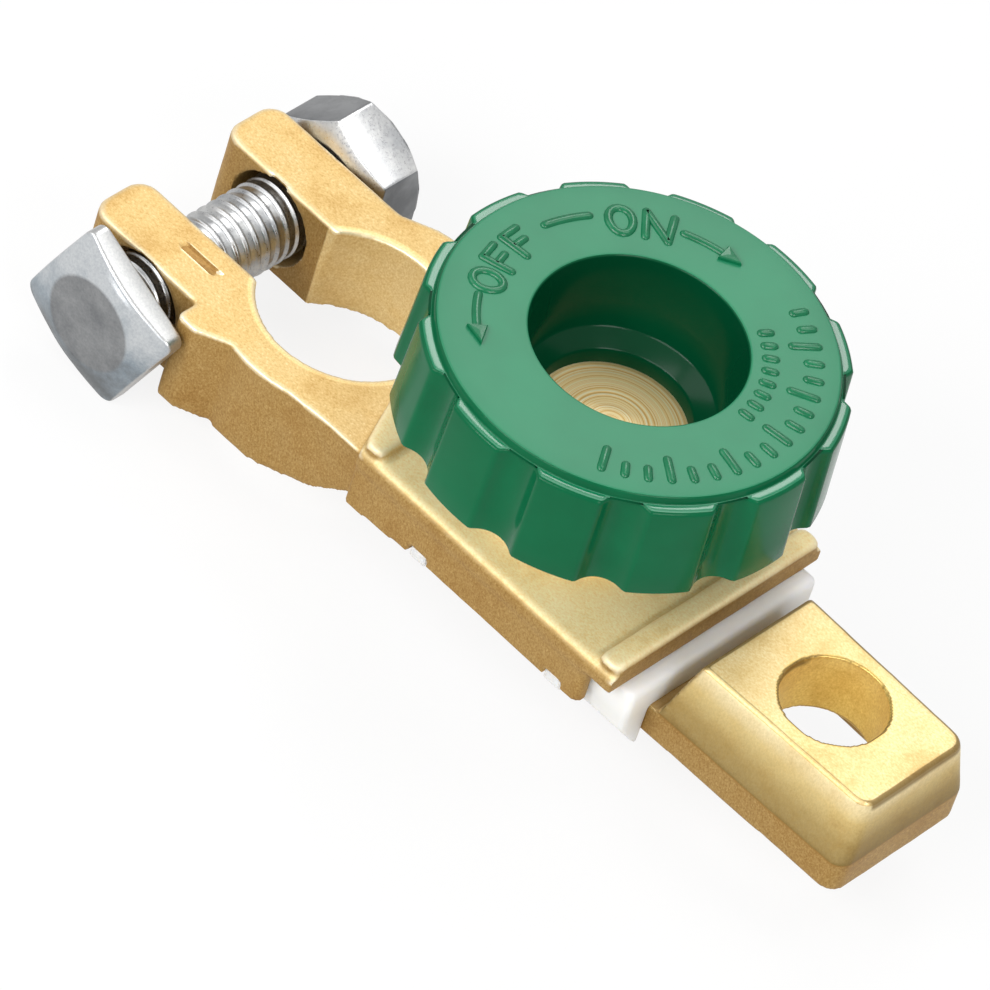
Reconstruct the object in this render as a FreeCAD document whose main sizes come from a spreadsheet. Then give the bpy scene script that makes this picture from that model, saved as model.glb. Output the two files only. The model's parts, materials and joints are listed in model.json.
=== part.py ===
"""Battery terminal disconnect switch: a brass post clamp, an insulated tail terminal and a green
screw knob whose brass stud joins the two. Millimetres, +Z up, +X towards the tail terminal.
The origin is the battery post's axis at the clamp's underside."""
import FreeCAD, Part
import os
import re

import Sketcher
from FreeCAD import Vector

# Places closer than this count as the same one when edges are picked
SAME = 0.02

# Driving dimensions: alias, value in millimetres (angles in degrees, counts plain), meaning
SIZES = [
    ("clamp_height", 10.3, "height of the clamp's jaws and ring"),
    ("post_radius", 8.75, "bore radius at the top of the clamp"),
    ("taper_run", 18.0, "height over which the post bore widens by one in radius"),
    ("ring_wall", 4.1, "wall of the ring round the post"),
    ("jaw_gap", 10.0, "open gap between the two ears"),
    ("ear_width", 6.7, "thickness of one ear"),
    ("ear_end", 22.0, "end of the ears, from the post axis"),
    ("ear_round", 2.0, "corner radius of the ears in plan"),
    ("ear_edge", 0.3, "bevel along the top of the ears"),
    ("bolt_place", 14.6, "clamp bolt axis, from the post axis"),
    ("bolt_level", 5.2, "clamp bolt axis above the underside"),
    ("bolt_thread", 7.9, "outside diameter of the M8 thread"),
    ("bolt_hole", 9.4, "diameter of the holes in the ears"),
    ("ledge_place", 8.2, "face of the ledge beside the bolt head, from the post axis"),
    ("ledge_depth", 2.5, "how far the ledge stands out of the ear"),
    ("ledge_width", 2.2, "width of the ledge's outer land"),
    ("ledge_ramp", 2.9, "run from the ledge back to the ring"),
    ("ledge_foot", 0.9, "how far the ramp still stands out of the ear at the ring"),
    ("ledge_round", 0.7, "corner radius of the ledge in plan"),
    ("near_inset", 1.8, "how far the neck on the bolt head's side stays inside the plate's side"),
    ("neck_inset", 0.3, "how far the neck starts inside the ring's outside"),
    ("neck_straight", 4.8, "length of the neck's straight side before the plate"),
    ("far_inset", 1.0, "how far the neck's end on the nut's side stays inside the plate's side"),
    ("neck_start", 3.6, "where the neck's underside starts to rise"),
    ("neck_rise", 1.8, "rise of the underside at the middle of the neck"),
    ("flare_half", 14.2, "half width of the neck's flare on the nut side"),
    ("flare_place", 2.2, "where that flare is widest"),
    ("flare_fall", 0.9, "how much narrower it is as far on the other side of the post"),
    ("flare_start", 5.0, "where the flare leaves the ear, from the post axis"),
    ("flare_lift", 0.2, "how far the flare stands out of the ear there"),
    ("knob_place", 28.8, "knob axis, from the post axis"),
    ("plate_top", 12.6, "top of the contact plate"),
    ("plate_thick", 1.9, "thickness of the contact plate"),
    ("plate_half", 13.6, "half width of the contact plate"),
    ("plate_start", 13.8, "corner of the plate at the neck"),
    ("plate_bulge", 2.6, "how far the plate's end bulges towards the post"),
    ("bulge_half", 7.0, "half width of the bulge's flat"),
    ("plate_end", 45.4, "end of the plate over the tail"),
    ("wall_inset", 0.15, "how far the side walls stay inside the plate's sides"),
    ("wall_thick", 1.35, "thickness of the side walls"),
    ("wall_end", 42.6, "end of the side walls"),
    ("wall_low", 6.6, "lower edge of the side walls"),
    ("wall_drop", 0.9, "how much lower that edge is at the neck"),
    ("end_wall", 2.4, "thickness of the channel's closed end"),
    ("rib_height", 1.0, "height of the two raised stops above the plate"),
    ("rib_width", 2.5, "width of the stop at the tail end"),
    ("rib_inset", 0.4, "how far the raised stops stay inside the plate's sides"),
    ("stop_round", 0.8, "corner radius of the stops in plan"),
    ("stop_inset", 0.3, "how far the neck's stop stays inside the channel's end"),
    ("stop_edge", 0.35, "bevel round the top of the stops"),
    ("notch_width", 2.2, "width of the notches in the side walls"),
    ("notch_depth", 0.8, "depth of those notches"),
    ("notch_run", 6.4, "middle of the first notch, from the channel's closed end"),
    ("notch_inset", 3.1, "middle of the second notch, from the walls' end"),
    ("wall_round", 0.7, "corner radius of the walls' free ends"),
    ("plate_round", 0.9, "edge radius of the plate's long sides"),
    ("tongue_low", 4.3, "underside of the tail terminal"),
    ("tongue_thick", 3.3, "thickness of its tongue"),
    ("tongue_half", 8.8, "half width of the tongue"),
    ("tongue_taper", 0.5, "how much narrower the terminal's end is, each side"),
    ("tongue_start", 18.9, "hidden end of the tongue"),
    ("terminal_start", 47.9, "foot of the terminal block"),
    ("terminal_slope", 1.7, "lean of the block's inner face"),
    ("terminal_end", 69.8, "end of the tail terminal"),
    ("terminal_top", 14.3, "top of the terminal block"),
    ("terminal_half", 7.0, "half width of the block's top"),
    ("terminal_crown", 0.7, "lean of the block's outer end"),
    ("terminal_round", 1.6, "corner radius of the terminal's end"),
    ("terminal_edge", 0.6, "edge radius of the block's top"),
    ("lug_place", 59.0, "cable bolt hole, from the post axis"),
    ("lug_hole", 9.9, "diameter of the cable bolt hole"),
    ("seat_half", 7.1, "half width of the recess for the cable bolt's head, under the block"),
    ("seat_depth", 3.0, "depth of that recess"),
    ("boss_radius", 6.0, "radius of the threaded boss on the tongue"),
    ("boss_gap", 0.6, "how far that boss stays below the plate's top"),
    ("stud_thread", 7.9, "outside diameter of the stud's M8 thread"),
    ("screw_gap", 0.05, "radial clearance in the plain bores that stand for threads"),
    ("fit_gap", 0.1, "clearance round the moulded insulator"),
    ("sleeve_end", 47.0, "end of the insulator"),
    ("sleeve_low", 2.8, "lowest edge of the insulator"),
    ("sleeve_bevel", 6.2, "where the insulator's outer bevel starts"),
    ("sleeve_foot", 0.35, "width of the insulator's lowest edge"),
    ("sleeve_round", 0.5, "edge radius of the insulator's open end"),
    ("collar_wall", 1.1, "wall of the insulating collar round the boss"),
    ("lip_width", 0.6, "reach of the lips that hold the tongue up"),
    ("lip_height", 1.0, "height of those lips at their root"),
    ("lip_edge", 0.35, "height of the lips' inner edge"),
    ("lip_end", 3.0, "how far the lips stop short of the insulator's end"),
    ("lug_inset", 0.15, "how far the insulator's lugs stay inside the side walls"),
    ("flange_radius", 9.8, "radius of the stud's contact flange"),
    ("flange_thick", 3.0, "thickness of the contact flange"),
    ("head_radius", 7.0, "radius of the stud's head in the knob"),
    ("head_top", 9.4, "top of the stud's head above the plate"),
    ("knob_travel", 1.875, "rise of the knob in one and a half turns"),
    ("ring_thick", 1.0, "thickness of the retaining ring"),
    ("ring_gap", 0.1, "clearance of the retaining ring along the stud"),
    ("ring_radius", 6.0, "outside radius of the retaining ring"),
    ("groove_radius", 3.2, "radius of the stud in the ring's groove"),
    ("ring_play", 0.06, "radial play of the ring in its groove"),
    ("ring_mouth", 5.2, "width of the ring's mouth"),
    ("stud_tip", 0.8, "length of the stud below the ring's groove"),
    ("skirt_radius", 19.7, "radius over the knob's lobes at the bottom"),
    ("skirt_low", 9.5, "bottom of the knob's skirt above the plate"),
    ("skirt_draft", 0.45, "how much narrower the lobes are at the top"),
    ("skirt_wall", 2.3, "wall of the skirt"),
    ("knob_top", 20.2, "top of the knob above the plate"),
    ("face_radius", 18.0, "radius of the knob's top face"),
    ("face_step", 0.75, "step from the face down to the lobes' tops"),
    ("face_flare", 0.1, "how much wider the face's rim is at its foot"),
    ("face_bevel", 0.2, "bevel round the face"),
    ("lobe_bevel", 0.35, "bevel on the lobes' upper edge"),
    ("deck_thick", 3.1, "thickness of the knob's top"),
    ("well_radius", 9.75, "radius of the knob's well at the top"),
    ("well_bevel", 0.3, "bevel round the well's mouth"),
    ("well_draft", 0.75, "how much narrower the well is at its ledge"),
    ("well_floor", 11.9, "outer edge of the ledge in the well"),
    ("ledge_drop", 0.9, "fall of that ledge towards the stud"),
    ("hub_radius", 10.0, "radius of the knob's hub at the flange"),
    ("hub_draft", 1.6, "how much wider the hub is under the top"),
    ("lobe_count", 12, "number of lobes"),
    ("valley_turn", 11.0, "angle of the first valley from the tail"),
    ("valley_radius", 2.5, "radius of the valleys between the lobes"),
    ("valley_depth", 1.25, "depth of those valleys"),
    ("web_count", 6, "number of webs under the knob's top"),
    ("web_thick", 1.6, "thickness of those webs"),
    ("web_height", 5.5, "height of those webs"),
    ("web_reach", 0.6, "how far the webs run into the skirt and the hub"),
    ("head_width", 12.6, "width across the square head"),
    ("head_turn", 22.0, "turn of the square head's corner"),
    ("head_round", 1.6, "corner radius of the square head"),
    ("head_thick", 3.1, "thickness of the square head"),
    ("head_gap", 2.9, "gap between the square head and its ear"),
    ("crown_radius", 4.8, "radius of the flat on the square head"),
    ("crown_drop", 0.85, "fall of the head's face over its bevel"),
    ("nut_width", 13.0, "width across the nut's flats"),
    ("nut_thick", 6.1, "thickness of the nut"),
    ("nut_turn", 37.0, "turn of the nut's corner"),
    ("nut_bevel", 0.65, "height of the bevels on the nut's corners"),
    ("nut_land", 0.1, "how far those bevels reach past the flats and the corners"),
    ("nut_gap", 0.1, "gap between the nut and its ear"),
    ("bolt_spare", 1.4, "length of bolt beyond the nut"),
    ("thread_bevel", 0.8, "bevel at the end of a thread"),
    ("cut_margin", 1.0, "how far cuts run out past the faces that they open"),
    ("join_depth", 1.0, "how far joined forms reach into each other"),
]

# Sizes that follow from the driving ones, as the sheet's own formulas
DERIVED = {
    "ear_half": "jaw_gap / 2 + ear_width",
    "ring_outer": "post_radius + ring_wall",
    "foot_radius": "post_radius + clamp_height / taper_run",
    "neck_half": "plate_half - near_inset",
    "neck_far": "plate_half - far_inset",
    "wall_half": "plate_half - wall_inset",
    "wall_inner": "wall_half - wall_thick",
    "plate_low": "plate_top - plate_thick",
    "channel_start": "plate_start + end_wall",
    "tongue_top": "tongue_low + tongue_thick",
    "sleeve_start": "channel_start + fit_gap",
    "sleeve_half": "wall_inner - fit_gap",
    "tunnel_half": "tongue_half + fit_gap",
    "collar_inner": "boss_radius + fit_gap",
    "collar_outer": "collar_inner + collar_wall",
    "ring_top": "tongue_low - knob_travel - ring_gap - plate_top",
    "valley_place": "skirt_radius - valley_depth + valley_radius",
    "rib_half": "plate_half - rib_inset",
    "stop_cut": "stop_round * (1 - sqrt(2) / 2)",
    "near_notch": "channel_start + notch_run",
    "far_notch": "wall_end - notch_inset",
    "head_corner": "head_width / sqrt(2)",
    "nut_corner": "nut_width / sqrt(3)",
    "head_back": "ear_half + head_gap",
}

doc = FreeCAD.newDocument("BatteryDisconnectSwitch")


def make_sheet():
    """Puts every driving dimension and every derived one into the document's sheet."""
    sheet = doc.addObject("Spreadsheet::Sheet", "Sizes")
    for row, (alias, value, meaning) in enumerate(SIZES, start=1):
        sheet.set("A%d" % row, meaning)
        sheet.set("B%d" % row, str(value))
        sheet.setAlias("B%d" % row, alias)
    for row, (alias, formula) in enumerate(DERIVED.items(), start=len(SIZES) + 2):
        sheet.set("A%d" % row, "follows from: " + formula)
        sheet.set("B%d" % row, "=" + formula)
        sheet.setAlias("B%d" % row, alias)
    doc.recompute()
    return sheet


sizes = make_sheet()


def linked(formula):
    """Writes a formula of aliases as one that other objects can read from the sheet."""
    return re.sub("[a-z]+_[a-z_]+", lambda word: "Sizes." + word.group(), formula)


def number(formula):
    """Value of a formula of aliases."""
    return float(sizes.evalExpression(linked(formula)))


def bind(thing, path, formula):
    """Binds one property of an object to the sheet."""
    thing.setExpression(path, linked(formula))


def new_body(name, place=("0", "0", "0")):
    """An empty body whose position follows the sheet."""
    body = doc.addObject("PartDesign::Body", name)
    body.Label = name
    for axis, formula in zip("xyz", place):
        bind(body, "Placement.Base." + axis, formula)
    return body


def new_sketch(body, name, plane, level="0"):
    """A sketch on one of the body's own origin planes, raised along its normal by level."""
    support = [f for f in body.Origin.OriginFeatures if f.Role == plane + "_Plane"][0]
    sketch = body.newObject("Sketcher::SketchObject", name)
    sketch.AttachmentSupport = (support, [""])
    sketch.MapMode = "FlatFace"
    bind(sketch, "AttachmentOffset.Base.z", level)
    return sketch


def hold(sketch, kind, first, second, formula):
    """Adds one distance from the sketch's origin, bound to the sheet."""
    index = sketch.addConstraint(Sketcher.Constraint(kind, -1, 1, first, second, number(formula)))
    name = "size%d" % index
    sketch.renameConstraint(index, name)
    bind(sketch, "Constraints." + name, formula)


def draw_outline(sketch, points):
    """Draws a closed outline of straight sides whose corners are all bound to the sheet."""
    places = [Vector(number(across), number(along), 0) for across, along in points]
    first = sketch.GeometryCount
    for here, there in zip(places, places[1:] + places[:1]):
        sketch.addGeometry(Part.LineSegment(here, there), False)
    for index in range(len(points)):
        following = (index + 1) % len(points)
        sketch.addConstraint(Sketcher.Constraint("Coincident", first + index, 2, first + following, 1))
    for index, (across, along) in enumerate(points):
        hold(sketch, "DistanceX", first + index, 1, across)
        hold(sketch, "DistanceY", first + index, 1, along)


def draw_circle(sketch, radius, across="0", along="0"):
    """Draws a circle whose centre and radius are bound to the sheet."""
    centre = Vector(number(across), number(along), 0)
    index = sketch.addGeometry(Part.Circle(centre, Vector(0, 0, 1), number(radius)), False)
    hold(sketch, "DistanceX", index, 3, across)
    hold(sketch, "DistanceY", index, 3, along)
    size = sketch.addConstraint(Sketcher.Constraint("Radius", index, number(radius)))
    sketch.renameConstraint(size, "round%d" % size)
    bind(sketch, "Constraints.round%d" % size, radius)


def mirrored(points):
    """The outline's half at positive second coordinate, followed back at the negative one."""
    return points + [(across, "-1 * (" + along + ")") for across, along in reversed(points)]


def pad(body, name, sketch, length, both_sides=False, backwards=False):
    """Adds material along the sketch's normal."""
    feature = body.newObject("PartDesign::Pad", name)
    feature.Profile = sketch
    feature.Midplane = both_sides
    feature.Reversed = backwards
    bind(feature, "Length", length)
    doc.recompute()
    return feature


def pocket(body, name, sketch, length, both_sides=False, forwards=False):
    """Cuts against the sketch's normal, or along it, and makes sure that it does cut."""
    before = body.Shape.Volume
    feature = body.newObject("PartDesign::Pocket", name)
    feature.Profile = sketch
    feature.Midplane = both_sides
    feature.Reversed = forwards
    bind(feature, "Length", length)
    doc.recompute()
    if body.Shape.Volume >= before:
        raise RuntimeError(name + " cuts nothing")
    return feature


def turned(body, name, sketch, kind="Revolution", axis="V_Axis"):
    """Revolves a profile through a full turn, adding material or cutting a groove."""
    feature = body.newObject("PartDesign::" + kind, name)
    feature.Profile = sketch
    feature.ReferenceAxis = (sketch, [axis])
    feature.Angle = 360
    doc.recompute()
    return feature


def pattern(body, name, feature, count):
    """Repeats a feature evenly round the body's Z axis."""
    copies = body.newObject("PartDesign::PolarPattern", name)
    copies.Originals = [feature]
    copies.Axis = ([f for f in body.Origin.OriginFeatures if f.Role == "Z_Axis"][0], [""])
    copies.Angle = 360
    bind(copies, "Occurrences", count)
    body.Tip = copies
    doc.recompute()
    return copies


def dress_edges(body, name, kind, measure, size, wanted):
    """Dresses the edges for whose two ends wanted(first, second) is true."""
    names = []
    for index, edge in enumerate(body.Shape.Edges, start=1):
        ends = [vertex.Point for vertex in edge.Vertexes]
        if len(ends) == 2 and wanted(ends[0], ends[1]):
            names.append("Edge%d" % index)
    if not names:
        raise RuntimeError(name + " finds no edge")
    base = body.Tip
    feature = body.newObject("PartDesign::" + kind, name)
    feature.Base = (base, names)
    bind(feature, measure, size)
    body.Tip = feature
    doc.recompute()
    return feature


def round_edges(body, name, radius, wanted):
    """Rounds the wanted edges."""
    return dress_edges(body, name, "Fillet", "Radius", radius, wanted)


def bevel_edges(body, name, width, wanted):
    """Bevels the wanted edges."""
    return dress_edges(body, name, "Chamfer", "Size", width, wanted)


def lean(body, name, fall, wanted):
    """Leans the upright sides whose middle satisfies wanted(point) inwards, by fall at the top."""
    base = body.Tip
    sides = []
    foot = None
    for index, face in enumerate(base.Shape.Faces, start=1):
        box = face.BoundBox
        if box.ZLength > SAME and wanted(box.Center):
            sides.append("Face%d" % index)
        if box.ZLength < SAME and near(box.ZMin, "tongue_top"):
            foot = "Face%d" % index
    feature = body.newObject("PartDesign::Draft", name)
    feature.Base = (base, sides)
    feature.NeutralPlane = (base, [foot])
    bind(feature, "Angle", "atan((%s) / (terminal_top - tongue_top))" % fall)
    body.Tip = feature
    doc.recompute()
    return feature


def near(value, formula):
    """True where a coordinate lies on the level that a formula gives."""
    return abs(value - number(formula)) < SAME


def upright(first, second):
    """True for an edge that runs straight up."""
    return abs(first.x - second.x) < SAME and abs(first.y - second.y) < SAME


def lengthwise(first, second, formula):
    """True for an edge that runs along X at the level that a formula gives."""
    return near(first.z, formula) and near(second.z, formula) and abs(first.y - second.y) < SAME


def plate_outline(half, end):
    """Plan of the channel or its plate, with the end that bulges towards the post."""
    return mirrored([
        (end, half),
        ("plate_start", half),
        ("plate_start - plate_bulge", "bulge_half"),
    ])


def clamp_body():
    """The brass casting: split clamp, neck, channel and contact plate in one piece."""
    body = new_body("clamp_body")

    ears = new_sketch(body, "EarPlan", "XY")
    draw_outline(ears, mirrored([("-1 * ear_end", "ear_half"), ("0", "ear_half")]))
    pad(body, "Ears", ears, "clamp_height")

    ring = new_sketch(body, "RingPlan", "XY")
    draw_circle(ring, "ring_outer")
    pad(body, "Ring", ring, "clamp_height")

    ledge = new_sketch(body, "LedgePlan", "XY")
    draw_outline(ledge, [
        ("-1 * ledge_place", "join_depth - ear_half"),
        ("-1 * ledge_place", "-1 * ear_half - ledge_depth"),
        ("ledge_width - ledge_place", "-1 * ear_half - ledge_depth"),
        ("ledge_width + ledge_ramp - ledge_place", "-1 * ear_half - ledge_foot"),
        ("ledge_width + ledge_ramp - ledge_place", "join_depth - ear_half"),
    ])
    pad(body, "Ledge", ledge, "clamp_height")

    neck = new_sketch(body, "NeckPlan", "XY")
    draw_outline(neck, [
        ("0", "neck_inset - ring_outer"),
        ("plate_start - neck_straight", "-1 * neck_half"),
        ("channel_start", "-1 * neck_half"),
        ("channel_start", "neck_far"),
        ("plate_start - neck_straight", "plate_half"),
        ("flare_place", "flare_half"),
        ("-1 * flare_place", "flare_half - flare_fall"),
        ("-1 * flare_start", "ear_half + flare_lift"),
    ])
    pad(body, "Neck", neck, "clamp_height")

    underside = new_sketch(body, "NeckUnderside", "XZ")
    draw_outline(underside, [
        ("neck_start", "-1 * cut_margin"),
        ("neck_start", "0"),
        ("(neck_start + plate_start) / 2", "neck_rise"),
        ("plate_start", "wall_low - wall_drop"),
        ("channel_start + cut_margin", "wall_low - wall_drop"),
        ("channel_start + cut_margin", "-1 * cut_margin"),
    ])
    pocket(body, "NeckRise", underside, "4 * flare_half", both_sides=True)

    walls = new_sketch(body, "ChannelPlan", "XY", "wall_low - wall_drop")
    draw_outline(walls, plate_outline("wall_half", "wall_end"))
    pad(body, "Channel", walls, "plate_low - wall_low + wall_drop")

    plate = new_sketch(body, "PlatePlan", "XY", "plate_low")
    draw_outline(plate, plate_outline("plate_half", "plate_end"))
    pad(body, "Plate", plate, "plate_thick")

    hollow = new_sketch(body, "HollowPlan", "XY", "plate_low")
    draw_outline(hollow, mirrored([
        ("wall_end + cut_margin", "wall_inner"),
        ("channel_start", "wall_inner"),
    ]))
    pocket(body, "Hollow", hollow, "plate_low")

    slope = new_sketch(body, "WallSlope", "XZ")
    draw_outline(slope, [
        ("plate_start", "wall_low - wall_drop - cut_margin"),
        ("plate_start", "wall_low - wall_drop"),
        ("near_notch + notch_width", "wall_low"),
        ("wall_end + cut_margin", "wall_low"),
        ("wall_end + cut_margin", "wall_low - wall_drop - cut_margin"),
    ])
    pocket(body, "WallEdge", slope, "4 * plate_half", both_sides=True)

    for index, place in enumerate(["near_notch", "far_notch"], start=1):
        notch = new_sketch(body, "NotchSide%d" % index, "XZ")
        draw_outline(notch, [
            (place + " - notch_width / 2", "wall_low - wall_drop"),
            (place + " - notch_width / 2", "wall_low + notch_depth"),
            (place + " + notch_width / 2", "wall_low + notch_depth"),
            (place + " + notch_width / 2", "wall_low - wall_drop"),
        ])
        pocket(body, "Notch%d" % index, notch, "4 * plate_half", both_sides=True)

    round_edges(body, "PlateSides", "plate_round", lambda first, second: (
        lengthwise(first, second, "plate_top") and near(abs(first.y), "plate_half")))

    bar = new_sketch(body, "TailStopPlan", "XY", "plate_low + plate_round")
    draw_outline(bar, mirrored([
        ("plate_end", "rib_half - stop_round"),
        ("plate_end - stop_cut", "rib_half - stop_cut"),
        ("plate_end - stop_round", "rib_half"),
        ("plate_end - rib_width + stop_round", "rib_half"),
        ("plate_end - rib_width + stop_cut", "rib_half - stop_cut"),
        ("plate_end - rib_width", "rib_half - stop_round"),
    ]))
    pad(body, "TailStop", bar, "plate_thick + rib_height - plate_round")

    stop = new_sketch(body, "NeckStopPlan", "XY", "plate_low + plate_round")
    draw_outline(stop, mirrored([
        ("channel_start - stop_inset", "rib_half - stop_round"),
        ("channel_start - stop_inset - stop_cut", "rib_half - stop_cut"),
        ("channel_start - stop_inset - stop_round", "rib_half"),
        ("plate_start + stop_inset", "rib_half"),
        ("plate_start - stop_inset", "rib_half - stop_round"),
        ("plate_start - plate_bulge", "bulge_half"),
    ]))
    pad(body, "NeckStop", stop, "plate_thick + rib_height - plate_round")
    bevel_edges(body, "StopEdges", "stop_edge", lambda first, second: (
        near(first.z, "plate_top + rib_height") and near(second.z, "plate_top + rib_height")))

    bore = body.newObject("PartDesign::SubtractiveCone", "PostBore")
    bind(bore, "Radius1", "foot_radius")
    bind(bore, "Radius2", "post_radius")
    bind(bore, "Height", "clamp_height")
    doc.recompute()

    gap = new_sketch(body, "JawGapPlan", "XY")
    draw_outline(gap, mirrored([("-1 * ear_end - cut_margin", "jaw_gap / 2"), ("0", "jaw_gap / 2")]))
    pocket(body, "JawGap", gap, "clamp_height", forwards=True)

    hole = new_sketch(body, "BoltHoleSide", "XZ")
    draw_circle(hole, "bolt_hole / 2", "-1 * bolt_place", "bolt_level")
    pocket(body, "BoltHole", hole, "4 * ear_half", both_sides=True)

    contact = new_sketch(body, "ContactHolePlan", "XY", "plate_top")
    draw_circle(contact, "collar_outer + fit_gap", "knob_place")
    pocket(body, "ContactHole", contact, "plate_thick")

    round_edges(body, "WallEnds", "wall_round", lambda first, second: (
        upright(first, second) and near(first.x, "wall_end") and near(abs(first.y), "wall_half")))
    round_edges(body, "EarCorners", "ear_round", lambda first, second: (
        upright(first, second) and near(first.x, "-1 * ear_end")))
    round_edges(body, "LedgeCorners", "ledge_round", lambda first, second: (
        upright(first, second) and near(first.y, "-1 * ear_half - ledge_depth")))
    bevel_edges(body, "EarEdges", "ear_edge", lambda first, second: (
        lengthwise(first, second, "clamp_height") and max(first.x, second.x) < 0
        and (near(abs(first.y), "ear_half") or near(abs(first.y), "jaw_gap / 2"))))
    return body


def tail_terminal():
    """The brass terminal: a tongue inside the insulator and a block with the cable bolt hole."""
    body = new_body("tail_terminal")

    foot = new_sketch(body, "BlockFoot", "XY", "tongue_top")
    draw_outline(foot, mirrored([
        ("terminal_end", "tongue_half - tongue_taper"),
        ("terminal_start", "tongue_half"),
    ]))
    pad(body, "Block", foot, "terminal_top - tongue_top")
    lean(body, "BlockSides", "tongue_half - terminal_half", lambda middle: (
        abs(middle.y) > number("terminal_half")))
    lean(body, "BlockInnerFace", "terminal_slope", lambda middle: (
        middle.x < number("terminal_start + terminal_slope")))
    lean(body, "BlockOuterFace", "terminal_crown", lambda middle: (
        middle.x > number("terminal_end - terminal_crown")))

    tongue = new_sketch(body, "TonguePlan", "XY", "tongue_low")
    draw_outline(tongue, mirrored([
        ("terminal_end", "tongue_half - tongue_taper"),
        ("terminal_start", "tongue_half"),
        ("tongue_start", "tongue_half"),
    ]))
    pad(body, "Tongue", tongue, "tongue_thick")

    round_edges(body, "EndCorners", "terminal_round", lambda first, second: (
        min(first.x, second.x) > number("terminal_end - terminal_crown") - SAME
        and abs(first.z - second.z) > SAME))
    round_edges(body, "CrestEdges", "terminal_edge", lambda first, second: (
        near(first.z, "terminal_top") and near(second.z, "terminal_top")))

    hole = new_sketch(body, "LugHolePlan", "XY", "terminal_top")
    draw_circle(hole, "lug_hole / 2", "lug_place")
    pocket(body, "LugHole", hole, "terminal_top")

    seat = new_sketch(body, "HeadSeatPlan", "XY", "tongue_low")
    draw_outline(seat, mirrored([
        ("lug_place + seat_half", "seat_half"),
        ("lug_place - seat_half", "seat_half"),
    ]))
    pocket(body, "HeadSeat", seat, "seat_depth", forwards=True)

    boss = new_sketch(body, "BossPlan", "XY", "tongue_top")
    draw_circle(boss, "boss_radius", "knob_place")
    pad(body, "Boss", boss, "plate_top - boss_gap - tongue_top")

    tapping = new_sketch(body, "TappingPlan", "XY", "plate_top")
    draw_circle(tapping, "stud_thread / 2 + screw_gap", "knob_place")
    pocket(body, "Tapping", tapping, "plate_top")
    return body


def insulator():
    """The white moulding that keeps the tongue off the channel and lines the plate's hole."""
    body = new_body("insulator")

    section = new_sketch(body, "SleeveSection", "YZ", "sleeve_start")
    draw_outline(section, [
        ("-1 * sleeve_half", "plate_low"),
        ("-1 * sleeve_half", "sleeve_bevel"),
        ("-1 * tunnel_half - sleeve_foot", "sleeve_low"),
        ("tunnel_half + sleeve_foot", "sleeve_low"),
        ("sleeve_half", "sleeve_bevel"),
        ("sleeve_half", "plate_low"),
    ])
    pad(body, "Sleeve", section, "sleeve_end - sleeve_start")

    for index, place in enumerate(["near_notch", "far_notch"], start=1):
        lug = new_sketch(body, "LugSide%d" % index, "XZ")
        draw_outline(lug, [
            (place + " - notch_width / 2 + fit_gap", "sleeve_bevel"),
            (place + " - notch_width / 2 + fit_gap", "wall_low + notch_depth - fit_gap"),
            (place + " + notch_width / 2 - fit_gap", "wall_low + notch_depth - fit_gap"),
            (place + " + notch_width / 2 - fit_gap", "sleeve_bevel"),
        ])
        pad(body, "Lug%d" % index, lug, "2 * (wall_half - lug_inset)", both_sides=True)

    round_edges(body, "SleeveEnd", "sleeve_round", lambda first, second: (
        near(first.x, "sleeve_end") and near(second.x, "sleeve_end")
        and min(first.z, second.z) > number("sleeve_bevel") - SAME))

    tunnel = new_sketch(body, "TunnelPlan", "XY", "tongue_top")
    draw_outline(tunnel, mirrored([
        ("sleeve_end + cut_margin", "tunnel_half"),
        ("tongue_start - fit_gap", "tunnel_half"),
    ]))
    pocket(body, "Tunnel", tunnel, "tongue_top")

    for index, side in enumerate(["-1", "1"], start=1):
        lip = new_sketch(body, "LipSection%d" % index, "YZ", "tongue_start + fit_gap")
        draw_outline(lip, [
            (side + " * (tunnel_half + fit_gap)", "tongue_low - fit_gap - lip_height"),
            (side + " * (tunnel_half - lip_width)", "tongue_low - fit_gap - lip_edge"),
            (side + " * (tunnel_half - lip_width)", "tongue_low - fit_gap"),
            (side + " * (tunnel_half + fit_gap)", "tongue_low - fit_gap"),
        ])
        pad(body, "Lip%d" % index, lip, "sleeve_end - lip_end - tongue_start")

    collar = new_sketch(body, "CollarPlan", "XY", "plate_low")
    draw_circle(collar, "collar_outer", "knob_place")
    pad(body, "Collar", collar, "plate_thick - boss_gap / 2")

    opening = new_sketch(body, "CollarBorePlan", "XY", "plate_top")
    draw_circle(opening, "collar_inner", "knob_place")
    pocket(body, "CollarBore", opening, "plate_top")
    return body


def contact_stud():
    """The turned brass stud: head in the knob, contact flange, M8 shank and ring groove."""
    body = new_body("contact_stud", ("knob_place", "0", "plate_top"))
    profile = new_sketch(body, "StudProfile", "XZ")
    draw_outline(profile, [
        ("0", "head_top"),
        ("head_radius", "head_top"),
        ("head_radius", "flange_thick"),
        ("flange_radius", "flange_thick"),
        ("flange_radius", "0"),
        ("stud_thread / 2", "0"),
        ("stud_thread / 2", "ring_top + ring_gap / 2"),
        ("groove_radius", "ring_top + ring_gap / 2"),
        ("groove_radius", "ring_top - ring_thick - ring_gap / 2"),
        ("stud_thread / 2", "ring_top - ring_thick - ring_gap / 2"),
        ("stud_thread / 2", "ring_top - ring_thick - ring_gap / 2 - stud_tip / 2"),
        ("groove_radius", "ring_top - ring_thick - ring_gap / 2 - stud_tip"),
        ("0", "ring_top - ring_thick - ring_gap / 2 - stud_tip"),
    ])
    turned(body, "Stud", profile)
    return body


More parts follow.
